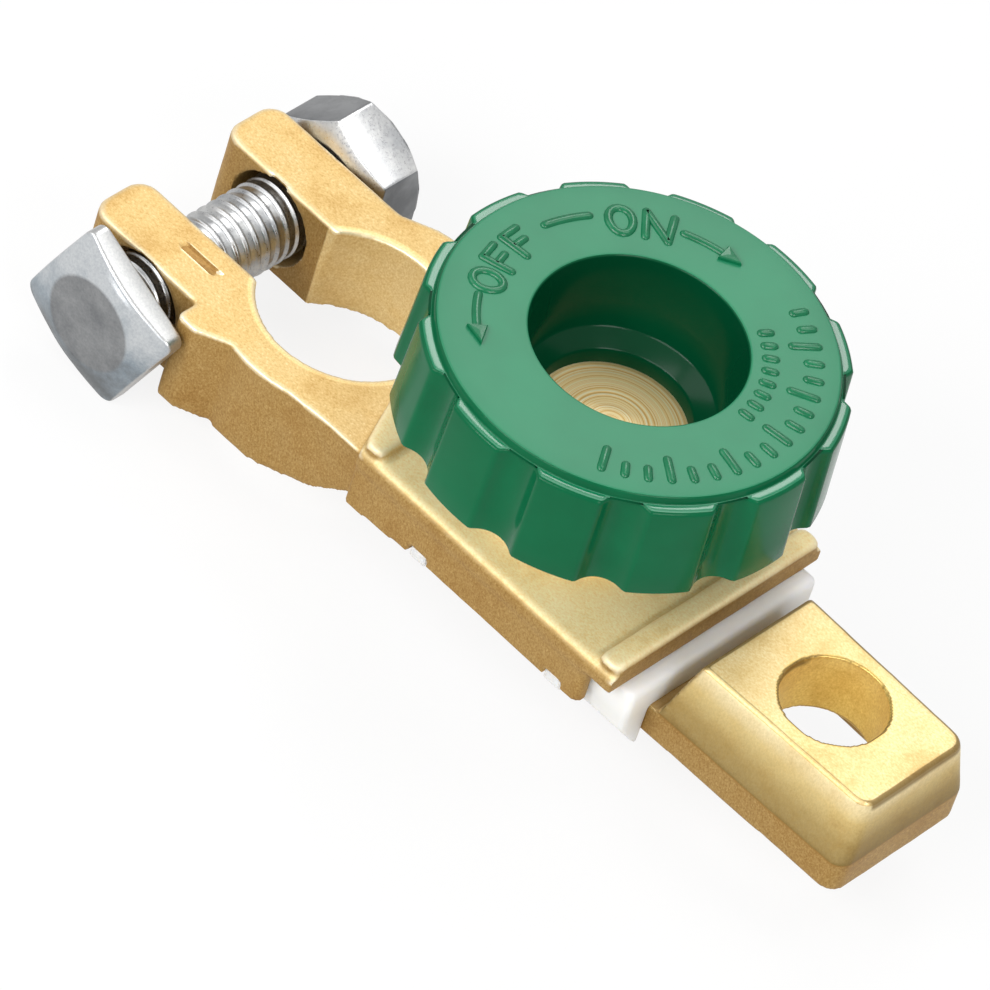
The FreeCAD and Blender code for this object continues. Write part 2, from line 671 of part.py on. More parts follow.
def retaining_ring():
    """The open spring ring under the tongue that keeps the stud from unscrewing fully."""
    body = new_body("retaining_ring", ("knob_place", "0", "plate_top + ring_top - ring_thick"))
    plan = new_sketch(body, "RingPlan", "XY")
    draw_circle(plan, "ring_radius")
    draw_circle(plan, "groove_radius + ring_play")
    pad(body, "Ring", plan, "ring_thick")

    mouth = new_sketch(body, "MouthPlan", "XY")
    draw_outline(mouth, mirrored([
        ("-1 * ring_radius - cut_margin", "ring_mouth / 2"),
        ("0", "ring_mouth / 2"),
    ]))
    pocket(body, "Mouth", mouth, "ring_thick", forwards=True)
    return body


def knob():
    """The moulded knob: lobed skirt, drafted well and a hub moulded round the stud's head."""
    body = new_body("knob", ("knob_place", "0", "plate_top"))
    profile = new_sketch(body, "KnobProfile", "XZ")
    lobe_top = "knob_top - face_step"
    draw_outline(profile, [
        ("head_radius", "flange_thick"),
        ("hub_radius", "flange_thick"),
        ("hub_radius + hub_draft", "knob_top - deck_thick"),
        ("skirt_radius - skirt_wall - skirt_draft", "knob_top - deck_thick"),
        ("skirt_radius - skirt_wall", "skirt_low"),
        ("skirt_radius", "skirt_low"),
        ("skirt_radius - skirt_draft", lobe_top + " - lobe_bevel"),
        ("skirt_radius - skirt_draft - lobe_bevel", lobe_top),
        ("face_radius + face_flare", lobe_top),
        ("face_radius", "knob_top - face_bevel"),
        ("face_radius - face_bevel", "knob_top"),
        ("well_radius + well_bevel", "knob_top"),
        ("well_radius", "knob_top - well_bevel"),
        ("well_radius - well_draft", "well_floor"),
        ("head_radius", "well_floor - ledge_drop"),
    ])
    turned(body, "Moulding", profile)

    valley = new_sketch(body, "ValleyPlan", "XY", "skirt_low")
    draw_circle(valley, "valley_radius", "valley_place * cos(valley_turn * 1deg)",
                "valley_place * sin(valley_turn * 1deg)")
    first_valley = pocket(body, "Valley", valley, "knob_top", forwards=True)
    pattern(body, "Valleys", first_valley, "lobe_count")

    web = new_sketch(body, "WebPlan", "XY", "knob_top - deck_thick - web_height")
    draw_outline(web, mirrored([
        ("skirt_radius - skirt_wall - skirt_draft + web_reach", "web_thick / 2"),
        ("hub_radius + hub_draft - web_reach", "web_thick / 2"),
    ]))
    first_web = pad(body, "Web", web, "web_height + join_depth")
    pattern(body, "Webs", first_web, "web_count")
    return body


def clamp_bolt():
    """The square-headed M8 bolt through the two ears, along Y."""
    body = new_body("clamp_bolt", ("-1 * bolt_place", "0", "bolt_level"))
    head = new_sketch(body, "HeadSide", "XZ", "head_back")
    corners = []
    for quarter in range(4):
        angle = "(head_turn + %d) * 1deg" % (90 * quarter)
        corners.append(("head_corner * cos(%s)" % angle, "head_corner * sin(%s)" % angle))
    draw_outline(head, corners)
    pad(body, "Head", head, "head_thick")
    round_edges(body, "HeadCorners", "head_round", lambda first, second: (
        abs(first.y - second.y) > SAME))

    bevel = new_sketch(body, "HeadBevel", "XY")
    draw_outline(bevel, [
        ("crown_radius", "-1 * head_back - head_thick"),
        ("head_corner", "crown_drop - head_back - head_thick"),
        ("head_corner", "-1 * head_back - head_thick - cut_margin"),
        ("crown_radius", "-1 * head_back - head_thick - cut_margin"),
    ])
    turned(body, "Crown", bevel, "Groove")

    shank = new_sketch(body, "ShankProfile", "XY")
    tip = "ear_half + nut_gap + nut_thick + bolt_spare"
    draw_outline(shank, [
        ("0", "-1 * head_back - join_depth"),
        ("bolt_thread / 2", "-1 * head_back - join_depth"),
        ("bolt_thread / 2", tip + " - thread_bevel"),
        ("bolt_thread / 2 - thread_bevel", tip),
        ("0", tip),
    ])
    turned(body, "Shank", shank)
    return body


def clamp_nut():
    """The hexagon nut on the far ear."""
    body = new_body("clamp_nut", ("-1 * bolt_place", "ear_half + nut_gap", "bolt_level"))
    side = new_sketch(body, "NutSide", "XZ")
    corners = []
    for sixth in range(6):
        angle = "(nut_turn + %d) * 1deg" % (60 * sixth)
        corners.append(("nut_corner * cos(%s)" % angle, "nut_corner * sin(%s)" % angle))
    draw_outline(side, corners)
    pad(body, "Nut", side, "nut_thick", backwards=True)

    for name, face, inward in (("Inner", "0", "nut_bevel"), ("Outer", "nut_thick", "-1 * nut_bevel")):
        bevel = new_sketch(body, name + "Bevel", "XY")
        draw_outline(bevel, [
            ("nut_width / 2 - nut_land", face),
            ("nut_corner + nut_land", face + " + " + inward),
            ("nut_corner + nut_land", face + " - " + inward),
            ("nut_width / 2 - nut_land", face + " - " + inward),
        ])
        turned(body, name + "Chamfer", bevel, "Groove")

    bore = new_sketch(body, "NutBoreSide", "XZ")
    draw_circle(bore, "bolt_thread / 2 + screw_gap")
    pocket(body, "NutBore", bore, "nut_thick")
    return body


def check_and_export(bodies):
    """Stops on any failed object or bad solid, then writes one file for each piece."""
    doc.recompute()
    for thing in doc.Objects:
        if "Invalid" in thing.State or "Error" in thing.State:
            raise RuntimeError(thing.Name + " failed: " + str(thing.State))
    for body in bodies:
        shape = body.Shape
        if shape.isNull() or not shape.isValid() or shape.Volume <= 0:
            raise RuntimeError(body.Label + " has no sound solid")
        if len(shape.Solids) != 1:
            raise RuntimeError(body.Label + " is not one solid")
    os.makedirs("parts", exist_ok=True)
    for body in bodies:
        body.Shape.exportStep("parts/%s.step" % body.Label)
        print("%-16s %9.1f mm3" % (body.Label, body.Shape.Volume))


check_and_export([
    clamp_body(),
    tail_terminal(),
    insulator(),
    contact_stud(),
    retaining_ring(),
    knob(),
    clamp_bolt(),
    clamp_nut(),
])
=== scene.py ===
"""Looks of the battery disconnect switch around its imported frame. Metres, +Z up, +X to the tail."""

import json
import math

import bmesh
import bpy
from mathutils import Matrix, Vector, noise


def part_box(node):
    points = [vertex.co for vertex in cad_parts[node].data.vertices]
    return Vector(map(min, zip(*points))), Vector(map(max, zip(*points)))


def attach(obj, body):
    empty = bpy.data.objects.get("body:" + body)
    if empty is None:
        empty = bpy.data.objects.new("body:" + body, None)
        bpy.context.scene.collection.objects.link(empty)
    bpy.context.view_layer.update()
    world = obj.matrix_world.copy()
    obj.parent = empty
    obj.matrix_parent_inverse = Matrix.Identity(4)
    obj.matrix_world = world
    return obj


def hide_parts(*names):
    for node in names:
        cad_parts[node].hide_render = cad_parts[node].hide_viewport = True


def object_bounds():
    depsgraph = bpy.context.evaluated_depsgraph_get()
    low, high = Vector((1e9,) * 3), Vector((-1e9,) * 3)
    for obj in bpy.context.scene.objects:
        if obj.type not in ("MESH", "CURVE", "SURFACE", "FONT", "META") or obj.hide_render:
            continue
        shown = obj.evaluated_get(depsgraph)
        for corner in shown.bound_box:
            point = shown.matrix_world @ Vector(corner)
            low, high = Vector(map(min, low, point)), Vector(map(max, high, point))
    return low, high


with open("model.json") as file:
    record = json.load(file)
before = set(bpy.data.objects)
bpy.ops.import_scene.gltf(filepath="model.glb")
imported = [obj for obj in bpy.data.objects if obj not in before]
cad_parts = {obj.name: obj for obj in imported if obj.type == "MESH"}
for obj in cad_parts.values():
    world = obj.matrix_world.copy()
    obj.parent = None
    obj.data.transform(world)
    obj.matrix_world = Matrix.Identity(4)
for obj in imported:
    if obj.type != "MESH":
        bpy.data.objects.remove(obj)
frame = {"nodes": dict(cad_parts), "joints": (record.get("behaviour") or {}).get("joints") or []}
cad_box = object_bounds()

MM = 0.001
JOINTS = {joint["name"]: joint for joint in frame["joints"]}
KNOB_AXIS = Vector(JOINTS["knob_turn"]["pos_m"])
BOLT_AXIS = Vector(JOINTS["nut_turn"]["pos_m"])

# Camera: where it stands, its right and up directions, its focal length and its sensor
CAMERA_PLACE = Vector((0.33144, -0.52273, 0.64233))
CAMERA_RIGHT = Vector((0.69333, 0.68524, 0.22303))
CAMERA_UP = Vector((-0.62824, 0.42315, 0.65289))
CAMERA_LENS = 363.64
SENSOR_WIDTH = 36

# Lamps: direction from the part, width and height in metres, brightness in times white
LAMP_DISTANCE = 0.7
LAMPS = (
    ("lamp_behind", (-0.36, 0.60, 0.72), (0.24, 0.20), 6.4),
    ("lamp_beyond", (0.25, 0.35, 0.90), (0.30, 0.30), 2.8),
    ("lamp_above", (-0.16, 0.26, 0.95), (0.30, 0.30), 2.4),
    ("lamp_left", (-0.70, -0.35, 0.62), (0.35, 0.35), 2.2),
    ("lamp_low", (-0.10, -0.78, 0.62), (0.50, 0.35), 5.6),
    ("lamp_right", (0.72, -0.35, 0.60), (0.30, 0.30), 6.0),
    ("lamp_front", (-0.35, -0.72, 0.59), (0.22, 0.08), 9.0),
)

# Floor and surroundings
FLOOR_SIZE = 3.0
FLOOR_DROP = 0.6 * MM
FLOOR_GLOW = 0.86
GLOSSY_SHARE = 0.6
FILL_STRENGTH = 0.22

# Castings: mesh width and waviness of the surface, the seam's height, and the heights where painted sheen
# and shade change
CAST_VOXEL = 0.28 * MM
TAIL_VOXEL = 0.25 * MM
WHITE_VOXEL = 0.25 * MM
CAST_WAVINESS = 0.03 * MM
WHITE_WAVINESS = 0.01 * MM
WAVES_PER_METRE = (260, 900)
TONGUE_TOP = 7.6 * MM
SLOPE_HEIGHT = 6.2 * MM
TAIL_TOP = 14.3 * MM
PLATE_TOP = 12.4 * MM
PALE_METALLIC = 0.15

# Bores: a point on the axis and the radius that the bore's painted lighter tones reach
POST_BORE = (Vector((0, 0, 0)), 9.45 * MM)
CABLE_BORE = (Vector((59 * MM, 0, 0)), 5.15 * MM)


def new_object(name, mesh):
    """Links a mesh or curve into the scene as a new object."""
    thing = bpy.data.objects.new(name, mesh)
    bpy.context.scene.collection.objects.link(thing)
    return thing


def mesh_object(name, vertices, faces):
    """A smooth-shaded object from plain lists, with its faces turned outwards."""
    mesh = bpy.data.meshes.new(name)
    mesh.from_pydata([tuple(vertex) for vertex in vertices], [], faces)
    shell = bmesh.new()
    shell.from_mesh(mesh)
    bmesh.ops.recalc_face_normals(shell, faces=shell.faces)
    shell.to_mesh(mesh)
    shell.free()
    mesh.shade_smooth()
    return new_object(name, mesh)


def applied(thing):
    """Bakes an object's modifiers into its mesh."""
    graph = bpy.context.evaluated_depsgraph_get()
    baked = bpy.data.meshes.new_from_object(thing.evaluated_get(graph))
    old = thing.data
    thing.modifiers.clear()
    thing.data = baked
    bpy.data.meshes.remove(old)
    baked.shade_smooth()
    return thing


def round_strip(centre, radius, start, end, steps):
    """Points of an arc in a section plane: (radius from the axis, height), angles in degrees."""
    points = []
    for step in range(steps + 1):
        angle = math.radians(start + (end - start) * step / steps)
        points.append((centre[0] + radius * math.cos(angle), centre[1] + radius * math.sin(angle)))
    return points


# Shader helpers


def new_material(name):
    """An empty node material with its shader and output."""
    material = bpy.data.materials.new(name)
    material.use_nodes = True
    nodes = material.node_tree.nodes
    nodes.clear()
    output = nodes.new("ShaderNodeOutputMaterial")
    shader = nodes.new("ShaderNodeBsdfPrincipled")
    material.node_tree.links.new(shader.outputs["BSDF"], output.inputs["Surface"])
    return material, shader


def add_node(material, kind, **inputs):
    """Adds a shader node and sets or links its inputs by name."""
    node = material.node_tree.nodes.new(kind)
    for name, value in inputs.items():
        socket = node.inputs[name.replace("_", " ")]
        connect(material, value, socket)
    return node


def connect(material, value, socket):
    """Links an output to a socket, or sets the socket's own value."""
    if isinstance(value, bpy.types.NodeSocket):
        material.node_tree.links.new(value, socket)
    else:
        socket.default_value = value


def place(material, stretch=(1, 1, 1), turn=(0, 0, 0)):
    """Object coordinates, stretched and turned."""
    where = add_node(material, "ShaderNodeTexCoord")
    mapping = add_node(material, "ShaderNodeMapping", Vector=where.outputs["Object"],
                       Scale=stretch, Rotation=turn)
    return mapping.outputs["Vector"]


def speckle(material, per_metre, detail=3.0, roughness=0.6, stretch=(1, 1, 1), turn=(0, 0, 0)):
    """Noise of a given density, from 0 to 1."""
    texture = add_node(material, "ShaderNodeTexNoise", Vector=place(material, stretch, turn),
                       Scale=per_metre, Detail=detail, Roughness=roughness)
    return texture.outputs["Fac"]


def line_noise(material, along, per_metre, detail):
    """Noise along a single length, from 0 to 1."""
    texture = add_node(material, "ShaderNodeTexNoise")
    texture.noise_dimensions = "1D"
    connect(material, along, texture.inputs["W"])
    texture.inputs["Scale"].default_value = per_metre
    texture.inputs["Detail"].default_value = detail
    texture.inputs["Roughness"].default_value = 0.7
    return texture.outputs["Fac"]


def ramp(material, factor, stops):
    """Colour ramp through (position, colour) stops."""
    node = add_node(material, "ShaderNodeValToRGB", Fac=factor)
    elements = node.color_ramp.elements
    while len(elements) < len(stops):
        elements.new(0.5)
    for element, (position, colour) in zip(elements, stops):
        element.position = position
        element.color = (*colour, 1)
    return node.outputs["Color"]


def span(material, factor, low, high, from_low=0.0, from_high=1.0):
    """Maps a factor from one range to another."""
    node = add_node(material, "ShaderNodeMapRange", Value=factor)
    node.inputs["From Min"].default_value = from_low
    node.inputs["From Max"].default_value = from_high
    node.inputs["To Min"].default_value = low
    node.inputs["To Max"].default_value = high
    return node.outputs["Result"]


def blend_colours(material, factor, first, second, how="MIX"):
    """Mixes two colours."""
    node = material.node_tree.nodes.new("ShaderNodeMix")
    node.data_type = "RGBA"
    node.blend_type = how
    connect(material, factor, node.inputs[0])
    for socket, value in ((node.inputs[6], first), (node.inputs[7], second)):
        if isinstance(value, tuple):
            value = (*value, 1)
        connect(material, value, socket)
    return node.outputs[2]


def bumps(material, shader, layers):
    """Stacks bump layers of (height, strength, depth in metres) onto a shader."""
    normal = None
    for height, strength, depth in layers:
        bump = add_node(material, "ShaderNodeBump", Height=height, Strength=strength, Distance=depth)
        if normal is not None:
            connect(material, normal, bump.inputs["Normal"])
        normal = bump.outputs["Normal"]
    connect(material, normal, shader.inputs["Normal"])


def arithmetic(material, operation, *values):
    """One step of arithmetic on numbers or outputs."""
    node = add_node(material, "ShaderNodeMath")
    node.operation = operation
    for socket, value in zip(node.inputs, values):
        connect(material, value, socket)
    return node.outputs[0]


def place_parts(material):
    """X, Y and Z of the place in object coordinates."""
    where = add_node(material, "ShaderNodeTexCoord")
    return add_node(material, "ShaderNodeSeparateXYZ", Vector=where.outputs["Object"]).outputs


def normal_parts(material):
    """X, Y and Z of the surface's normal."""
    geometry = add_node(material, "ShaderNodeNewGeometry")
    return add_node(material, "ShaderNodeSeparateXYZ", Vector=geometry.outputs["Normal"]).outputs


def upward(material):
    """How far a surface faces up, from 0 on upright sides to 1 on level tops."""
    return span(material, normal_parts(material)["Z"], 0.0, 1.0, 0.15, 0.85)


def distance_from(material, centre, across):
    """Distance in metres from an axis through a centre, in the directions across the axis."""
    where = add_node(material, "ShaderNodeTexCoord")
    flat = add_node(material, "ShaderNodeVectorMath", Vector=where.outputs["Object"])
    flat.operation = "MULTIPLY_ADD"
    flat.inputs[1].default_value = across
    flat.inputs[2].default_value = [-part * used for part, used in zip(centre, across)]
    length = add_node(material, "ShaderNodeVectorMath", Vector=flat.outputs[0])
    length.operation = "LENGTH"
    return length.outputs["Value"]


# Materials


def painted_slope_light(material, colour, grain, seam):
    """Painted sheen and shade on the steep slopes above a seam, mottled by the grain: palest at the top,
    darkest at the seam.
    """
    height = span(material, place_parts(material)["Z"], 0.0, 1.0, seam, seam + SLOPE_HEIGHT)
    slope_light = ramp(material, height, [
        (0.0, (0.24, 0.165, 0.050)),
        (0.35, (0.38, 0.27, 0.09)),
        (0.72, (0.70, 0.55, 0.25)),
        (1.0, (0.98, 0.86, 0.56)),
    ])
    mottle = ramp(material, grain, [(0.3, (0.80, 0.78, 0.72)), (0.7, (1.0, 1.0, 1.0))])
    slope_light = blend_colours(material, 1.0, slope_light, mottle, "MULTIPLY")
    steep = arithmetic(material, "LESS_THAN", upward(material), 0.5)
    above_seam = arithmetic(material, "MULTIPLY", span(material, height, 0.0, 0.85, 0.0, 0.01), steep)
    return blend_colours(material, above_seam, colour, slope_light)


def painted_rim_shade(material, colour, top):
    """Painted shade on the rounded edges round a block's top, except along its near slope."""
    normal = normal_parts(material)
    turned_away = span(material, normal["Y"], 0.0, 0.8, -0.42, -0.25)
    high = span(material, place_parts(material)["Z"], 0.0, 1.0, top - 1.0 * MM, top - 0.6 * MM)
    rounded = span(material, normal["Z"], 1.0, 0.0, 0.955, 0.985)
    rim = arithmetic(material, "MULTIPLY", arithmetic(material, "MULTIPLY", high, rounded), turned_away)
    # Painted shade: the rim's edges turned away from the near side take a dark brown.
    return blend_colours(material, rim, colour, (0.20, 0.125, 0.03))


def seam_line(material, colour, seam):
    """A thin wandering line where the halves of the mould met."""
    wander = span(material, speckle(material, 500, 2.0, 0.5), -0.12 * MM, 0.12 * MM)
    height = arithmetic(material, "ADD", place_parts(material)["Z"], wander)
    on_seam = arithmetic(material, "COMPARE", height, seam, 0.075 * MM)
    return blend_colours(material, span(material, on_seam, 0.0, 0.7), colour, (0.30, 0.16, 0.04))


def cast_brass(name, seam, metallic, dullness, painted_crest_tone, pale_above, paleness, bore, bore_tones):
    """Tumbled cast brass: pale gold with fine grain, and painted shade on the sides and in the creases.
    Crests are rubbed smoother and take a painted tone: a highlight on the clamp, shade on the tail.

    Level faces above a height are painted paler, as lit tops; the bore takes two lighter painted tones.
    A seamed casting also has painted sheen and shade on its slopes and painted shade round its top's edges.
    """
    material, shader = new_material(name)
    grain = speckle(material, 3600, 4.0, 0.7, (1, 1.5, 1), (0.3, 0.2, 0.7))
    cross_grain = speckle(material, 3800, 4.0, 0.7, (1.5, 1, 1), (0.1, 0.5, -0.5))
    gold = ramp(material, grain, [
        (0.30, (0.56, 0.36, 0.125)),
        (0.46, (0.68, 0.475, 0.195)),
        (0.60, (0.75, 0.56, 0.265)),
        (0.76, (0.86, 0.72, 0.43)),
    ])
    painted_side_brown = ramp(material, cross_grain, [
        (0.28, (0.25, 0.140, 0.034)),
        (0.46, (0.36, 0.215, 0.064)),
        (0.60, (0.44, 0.285, 0.098)),
        (0.78, (0.62, 0.45, 0.20)),
    ])
    # Painted shade: upright sides take the darker brown, level tops the gold.
    colour = blend_colours(material, upward(material), painted_side_brown, gold)
    if seam is not None:
        colour = painted_slope_light(material, colour, cross_grain, seam)
    # Painted light: level faces above pale_above take a paler cream, as lit tops, and are made less
    # metallic.
    above = span(material, place_parts(material)["Z"], 0.0, paleness, pale_above - 0.2 * MM, pale_above)
    pale = arithmetic(material, "MULTIPLY", above, upward(material))
    painted_top_cream = ramp(material, grain, [(0.35, (0.94, 0.72, 0.34)), (0.65, (1.0, 0.90, 0.55))])
    colour = blend_colours(material, pale, colour, painted_top_cream)
    # Painted light: the bore walls take two lighter tones, as lit.
    centre, radius = bore
    in_bore = span(material, distance_from(material, centre, (1, 1, 0)), 0.85, 0.0,
                   radius, radius + 0.15 * MM)
    painted_bore_light = ramp(material, cross_grain, [(0.3, bore_tones[0]), (0.7, bore_tones[1])])
    colour = blend_colours(material, in_bore, colour, painted_bore_light)
    if seam is not None:
        colour = painted_rim_shade(material, colour, TAIL_TOP)
    clouds = speckle(material, 170, 5.0, 0.65)
    stain = ramp(material, clouds, [
        (0.34, (0.82, 0.71, 0.52)),
        (0.47, (0.97, 0.93, 0.84)),
        (0.60, (1.0, 1.0, 1.0)),
    ])
    colour = blend_colours(material, 0.75, colour, stain, "MULTIPLY")
    # Crests are rubbed smoother and take a painted tone: a painted highlight on the clamp, painted shade on
    # the tail.
    pointiness = add_node(material, "ShaderNodeNewGeometry").outputs["Pointiness"]
    crest = arithmetic(material, "MULTIPLY", span(material, pointiness, 0.0, 1.0, 0.515, 0.56),
                       span(material, normal_parts(material)["Z"], 0.0, 1.0, 0.08, 0.25))
    colour = blend_colours(material, span(material, crest, 0.0, 0.7), colour, painted_crest_tone)
    # Painted shade in the creases.
    painted_crease_shade = span(material, pointiness, 0.7, 0.0, 0.44, 0.49)
    colour = blend_colours(material, painted_crease_shade, colour, (0.36, 0.20, 0.05))
    if seam is not None:
        colour = seam_line(material, colour, seam)
    connect(material, colour, shader.inputs["Base Color"])
    roughness = span(material, cross_grain, dullness, dullness + 0.14, 0.3, 0.7)
    connect(material, arithmetic(material, "MULTIPLY_ADD", crest, -0.34, roughness),
            shader.inputs["Roughness"])
    connect(material, span(material, pale, metallic, PALE_METALLIC), shader.inputs["Metallic"])
    shader.inputs["Specular IOR Level"].default_value = 0.3
    bumps(material, shader, [
        (speckle(material, 320, 3.0, 0.6), 0.2, 0.06 * MM),
        (grain, 0.09, 0.015 * MM),
    ])
    return material


def sunk_brass():
    """Darker, duller brass in the floor of the sunk sign; its darker colour is painted shade in the recess.
    """
    material, shader = new_material("sunk_brass")
    grain = speckle(material, 2600, 3.0, 0.7)
    colour = ramp(material, grain, [(0.3, (0.30, 0.15, 0.035)), (0.7, (0.52, 0.32, 0.10))])
    connect(material, colour, shader.inputs["Base Color"])
    shader.inputs["Metallic"].default_value = 0.5
    connect(material, span(material, grain, 0.5, 0.7), shader.inputs["Roughness"])
    bumps(material, shader, [(grain, 0.2, 0.02 * MM)])
    return material


def turned_brass():
    """Brass faced on a lathe: fine rings round the knob's axis."""
    material, shader = new_material("turned_brass")
    radius = distance_from(material, KNOB_AXIS, (1, 1, 0))
    rings = line_noise(material, radius, 4200.0, 4.0)
    coarse = line_noise(material, radius, 2400.0, 2.0)
    colour = ramp(material, rings, [
        (0.36, (0.78, 0.45, 0.13)),
        (0.50, (0.98, 0.74, 0.35)),
        (0.66, (1.0, 0.91, 0.64)),
    ])
    connect(material, colour, shader.inputs["Base Color"])
    shader.inputs["Metallic"].default_value = 0.65
    shader.inputs["Roughness"].default_value = 0.40
    bumps(material, shader, [
        (coarse, 0.35, 0.03 * MM),
        (rings, 0.4, 0.015 * MM),
    ])
    return material


def green_plastic():
    """Moulded green plastic of the knob's flanks and well, deep and glossy, with painted shade inside the
    well.
    """
    material, shader = new_material("green_plastic")
    clouds = speckle(material, 120, 3.0, 0.55)
    colour = ramp(material, clouds, [(0.3, (0.001, 0.098, 0.036)), (0.7, (0.001, 0.122, 0.046))])
    # Painted shade: the green is darker inside the well.
    painted_well_shade = span(material, distance_from(material, KNOB_AXIS, (1, 1, 0)), 0.75, 0.0,
                   WELL_RADIUS, WELL_RADIUS + 0.2 * MM)
    colour = blend_colours(material, painted_well_shade, colour, (0.0005, 0.036, 0.013))
    connect(material, colour, shader.inputs["Base Color"])
    connect(material, span(material, clouds, 0.14, 0.20), shader.inputs["Roughness"])
    shader.inputs["IOR"].default_value = 1.5
    shader.inputs["Specular IOR Level"].default_value = 0.12
    bumps(material, shader, [(speckle(material, 260, 2.0, 0.5), 0.12, 0.05 * MM)])
    return material


def green_face():
    """The knob's finely textured face and the smoother lands on its lobes, in a green painted lighter than
    the flanks', as lit.
    """
    material, shader = new_material("green_face")
    face = span(material, place_parts(material)["Z"], 0.0, 1.0,
                FACE_HEIGHT - 0.5 * MM, FACE_HEIGHT - 0.3 * MM)
    clouds = speckle(material, 120, 3.0, 0.55)
    # Painted light: the face's green is lighter than the same plastic on the flanks.
    colour = ramp(material, clouds, [(0.3, (0.004, 0.170, 0.074)), (0.7, (0.006, 0.200, 0.088))])
    connect(material, colour, shader.inputs["Base Color"])
    connect(material, span(material, face, 0.13, 0.45), shader.inputs["Roughness"])
    shader.inputs["IOR"].default_value = 1.5
    shader.inputs["Specular IOR Level"].default_value = 0.5
    bumps(material, shader, [
        (speckle(material, 260, 2.0, 0.5), 0.15, 0.05 * MM),
        (speckle(material, 9000, 2.0, 0.6), 0.05, 0.01 * MM),
    ])
    return material


def green_marks():
    """The raised marks, of the knob's own plastic, rubbed a little glossier."""
    material, shader = new_material("green_marks")
    clouds = speckle(material, 700, 3.0, 0.6)
    colour = ramp(material, clouds, [(0.3, (0.001, 0.125, 0.048)), (0.7, (0.003, 0.165, 0.066))])
    connect(material, colour, shader.inputs["Base Color"])
    connect(material, span(material, clouds, 0.16, 0.28), shader.inputs["Roughness"])
    shader.inputs["IOR"].default_value = 1.5
    shader.inputs["Specular IOR Level"].default_value = 0.36
    bumps(material, shader, [(speckle(material, 3000, 2.0, 0.6), 0.08, 0.01 * MM)])
    return material


def white_nylon():
    """White nylon that lets some light through, with painted shade darkening it towards the underside."""
    material, shader = new_material("white_nylon")
    clouds = speckle(material, 260, 3.0, 0.6)
    colour = ramp(material, clouds, [(0.3, (0.93, 0.93, 0.90)), (0.7, (0.97, 0.97, 0.95))])
    # Painted shade: the white darkens towards the underside.
    low = span(material, place_parts(material)["Z"], 1.0, 0.0, 7.5 * MM, 11 * MM)
    colour = blend_colours(material, low, colour, (0.74, 0.74, 0.72))
    connect(material, colour, shader.inputs["Base Color"])
    connect(material, span(material, clouds, 0.34, 0.48), shader.inputs["Roughness"])
    shader.inputs["Subsurface Weight"].default_value = 0.8
    shader.inputs["Subsurface Radius"].default_value = (1.0, 0.9, 0.75)
    shader.inputs["Subsurface Scale"].default_value = 3.0 * MM
    bumps(material, shader, [(speckle(material, 900, 3.0, 0.6), 0.1, 0.03 * MM)])
    return material


def zinc_steel(name, dark, light, roughness):
    """Zinc-plated steel: fine grain and faint blue and grey clouds."""
    material, shader = new_material(name)
    clouds = speckle(material, 240, 4.0, 0.65)
    grain = speckle(material, 3800, 3.0, 0.7)
    colour = ramp(material, clouds, [(0.34, dark), (0.66, light)])
    sparkle = ramp(material, grain, [(0.35, (0.78, 0.78, 0.80)), (0.62, (1.0, 1.0, 1.0))])
    colour = blend_colours(material, 0.6, colour, sparkle, "MULTIPLY")
    connect(material, colour, shader.inputs["Base Color"])
    shader.inputs["Metallic"].default_value = 1.0
    connect(material, span(material, grain, roughness - 0.06, roughness + 0.1, 0.3, 0.7),
            shader.inputs["Roughness"])
    bumps(material, shader, [
        (speckle(material, 600, 3.0, 0.6), 0.2, 0.03 * MM),
        (grain, 0.12, 0.01 * MM),
    ])
    return material


def head_steel():
    """Zinc on the bolt's head: bluish slopes and flanks, a rougher grey disc in the middle; the slopes are
    painted lighter towards the top, as lit.
    """
    material, shader = new_material("zinc_head")
    outside = span(material, distance_from(material, BOLT_AXIS, (1, 0, 1)), 0.0, 1.0,
                   CROWN_RADIUS - 0.25 * MM, CROWN_RADIUS + 0.1 * MM)
    behind = span(material, normal_parts(material)["Y"], 0.0, 1.0, -0.7, -0.4)
    off_disc = arithmetic(material, "MAXIMUM", outside, behind)
    clouds = speckle(material, 330, 4.0, 0.65)
    grain = speckle(material, 4200, 3.0, 0.7)
    # Painted light: the slopes grow lighter with height, mixed with random clouds.
    height = span(material, place_parts(material)["Z"], 0.0, 1.0,
                  BOLT_AXIS.z - 6 * MM, BOLT_AXIS.z + 6 * MM)
    clouds_and_painted_light = arithmetic(material, "MULTIPLY_ADD", clouds, 1.2, height)
    slope = ramp(material, span(material, clouds_and_painted_light, 0.0, 1.0, 0.4, 1.6), [
        (0.12, (0.15, 0.16, 0.165)),
        (0.5, (0.30, 0.345, 0.38)),
        (0.88, (0.56, 0.58, 0.59)),
    ])
    slope = blend_colours(material, behind, slope, (0.52, 0.52, 0.51))
    disc = ramp(material, clouds, [(0.32, (0.20, 0.205, 0.21)), (0.68, (0.31, 0.315, 0.315))])
    colour = blend_colours(material, off_disc, disc, slope)
    sparkle = ramp(material, grain, [(0.35, (0.76, 0.77, 0.80)), (0.62, (1.0, 1.0, 1.0))])
    colour = blend_colours(material, 0.7, colour, sparkle, "MULTIPLY")
    connect(material, colour, shader.inputs["Base Color"])
    shader.inputs["Metallic"].default_value = 0.9
    connect(material, span(material, off_disc, 0.52, 0.34), shader.inputs["Roughness"])
    bumps(material, shader, [
        (speckle(material, 800, 3.0, 0.6), 0.25, 0.03 * MM),
        (grain, 0.16, 0.01 * MM),
    ])
    return material


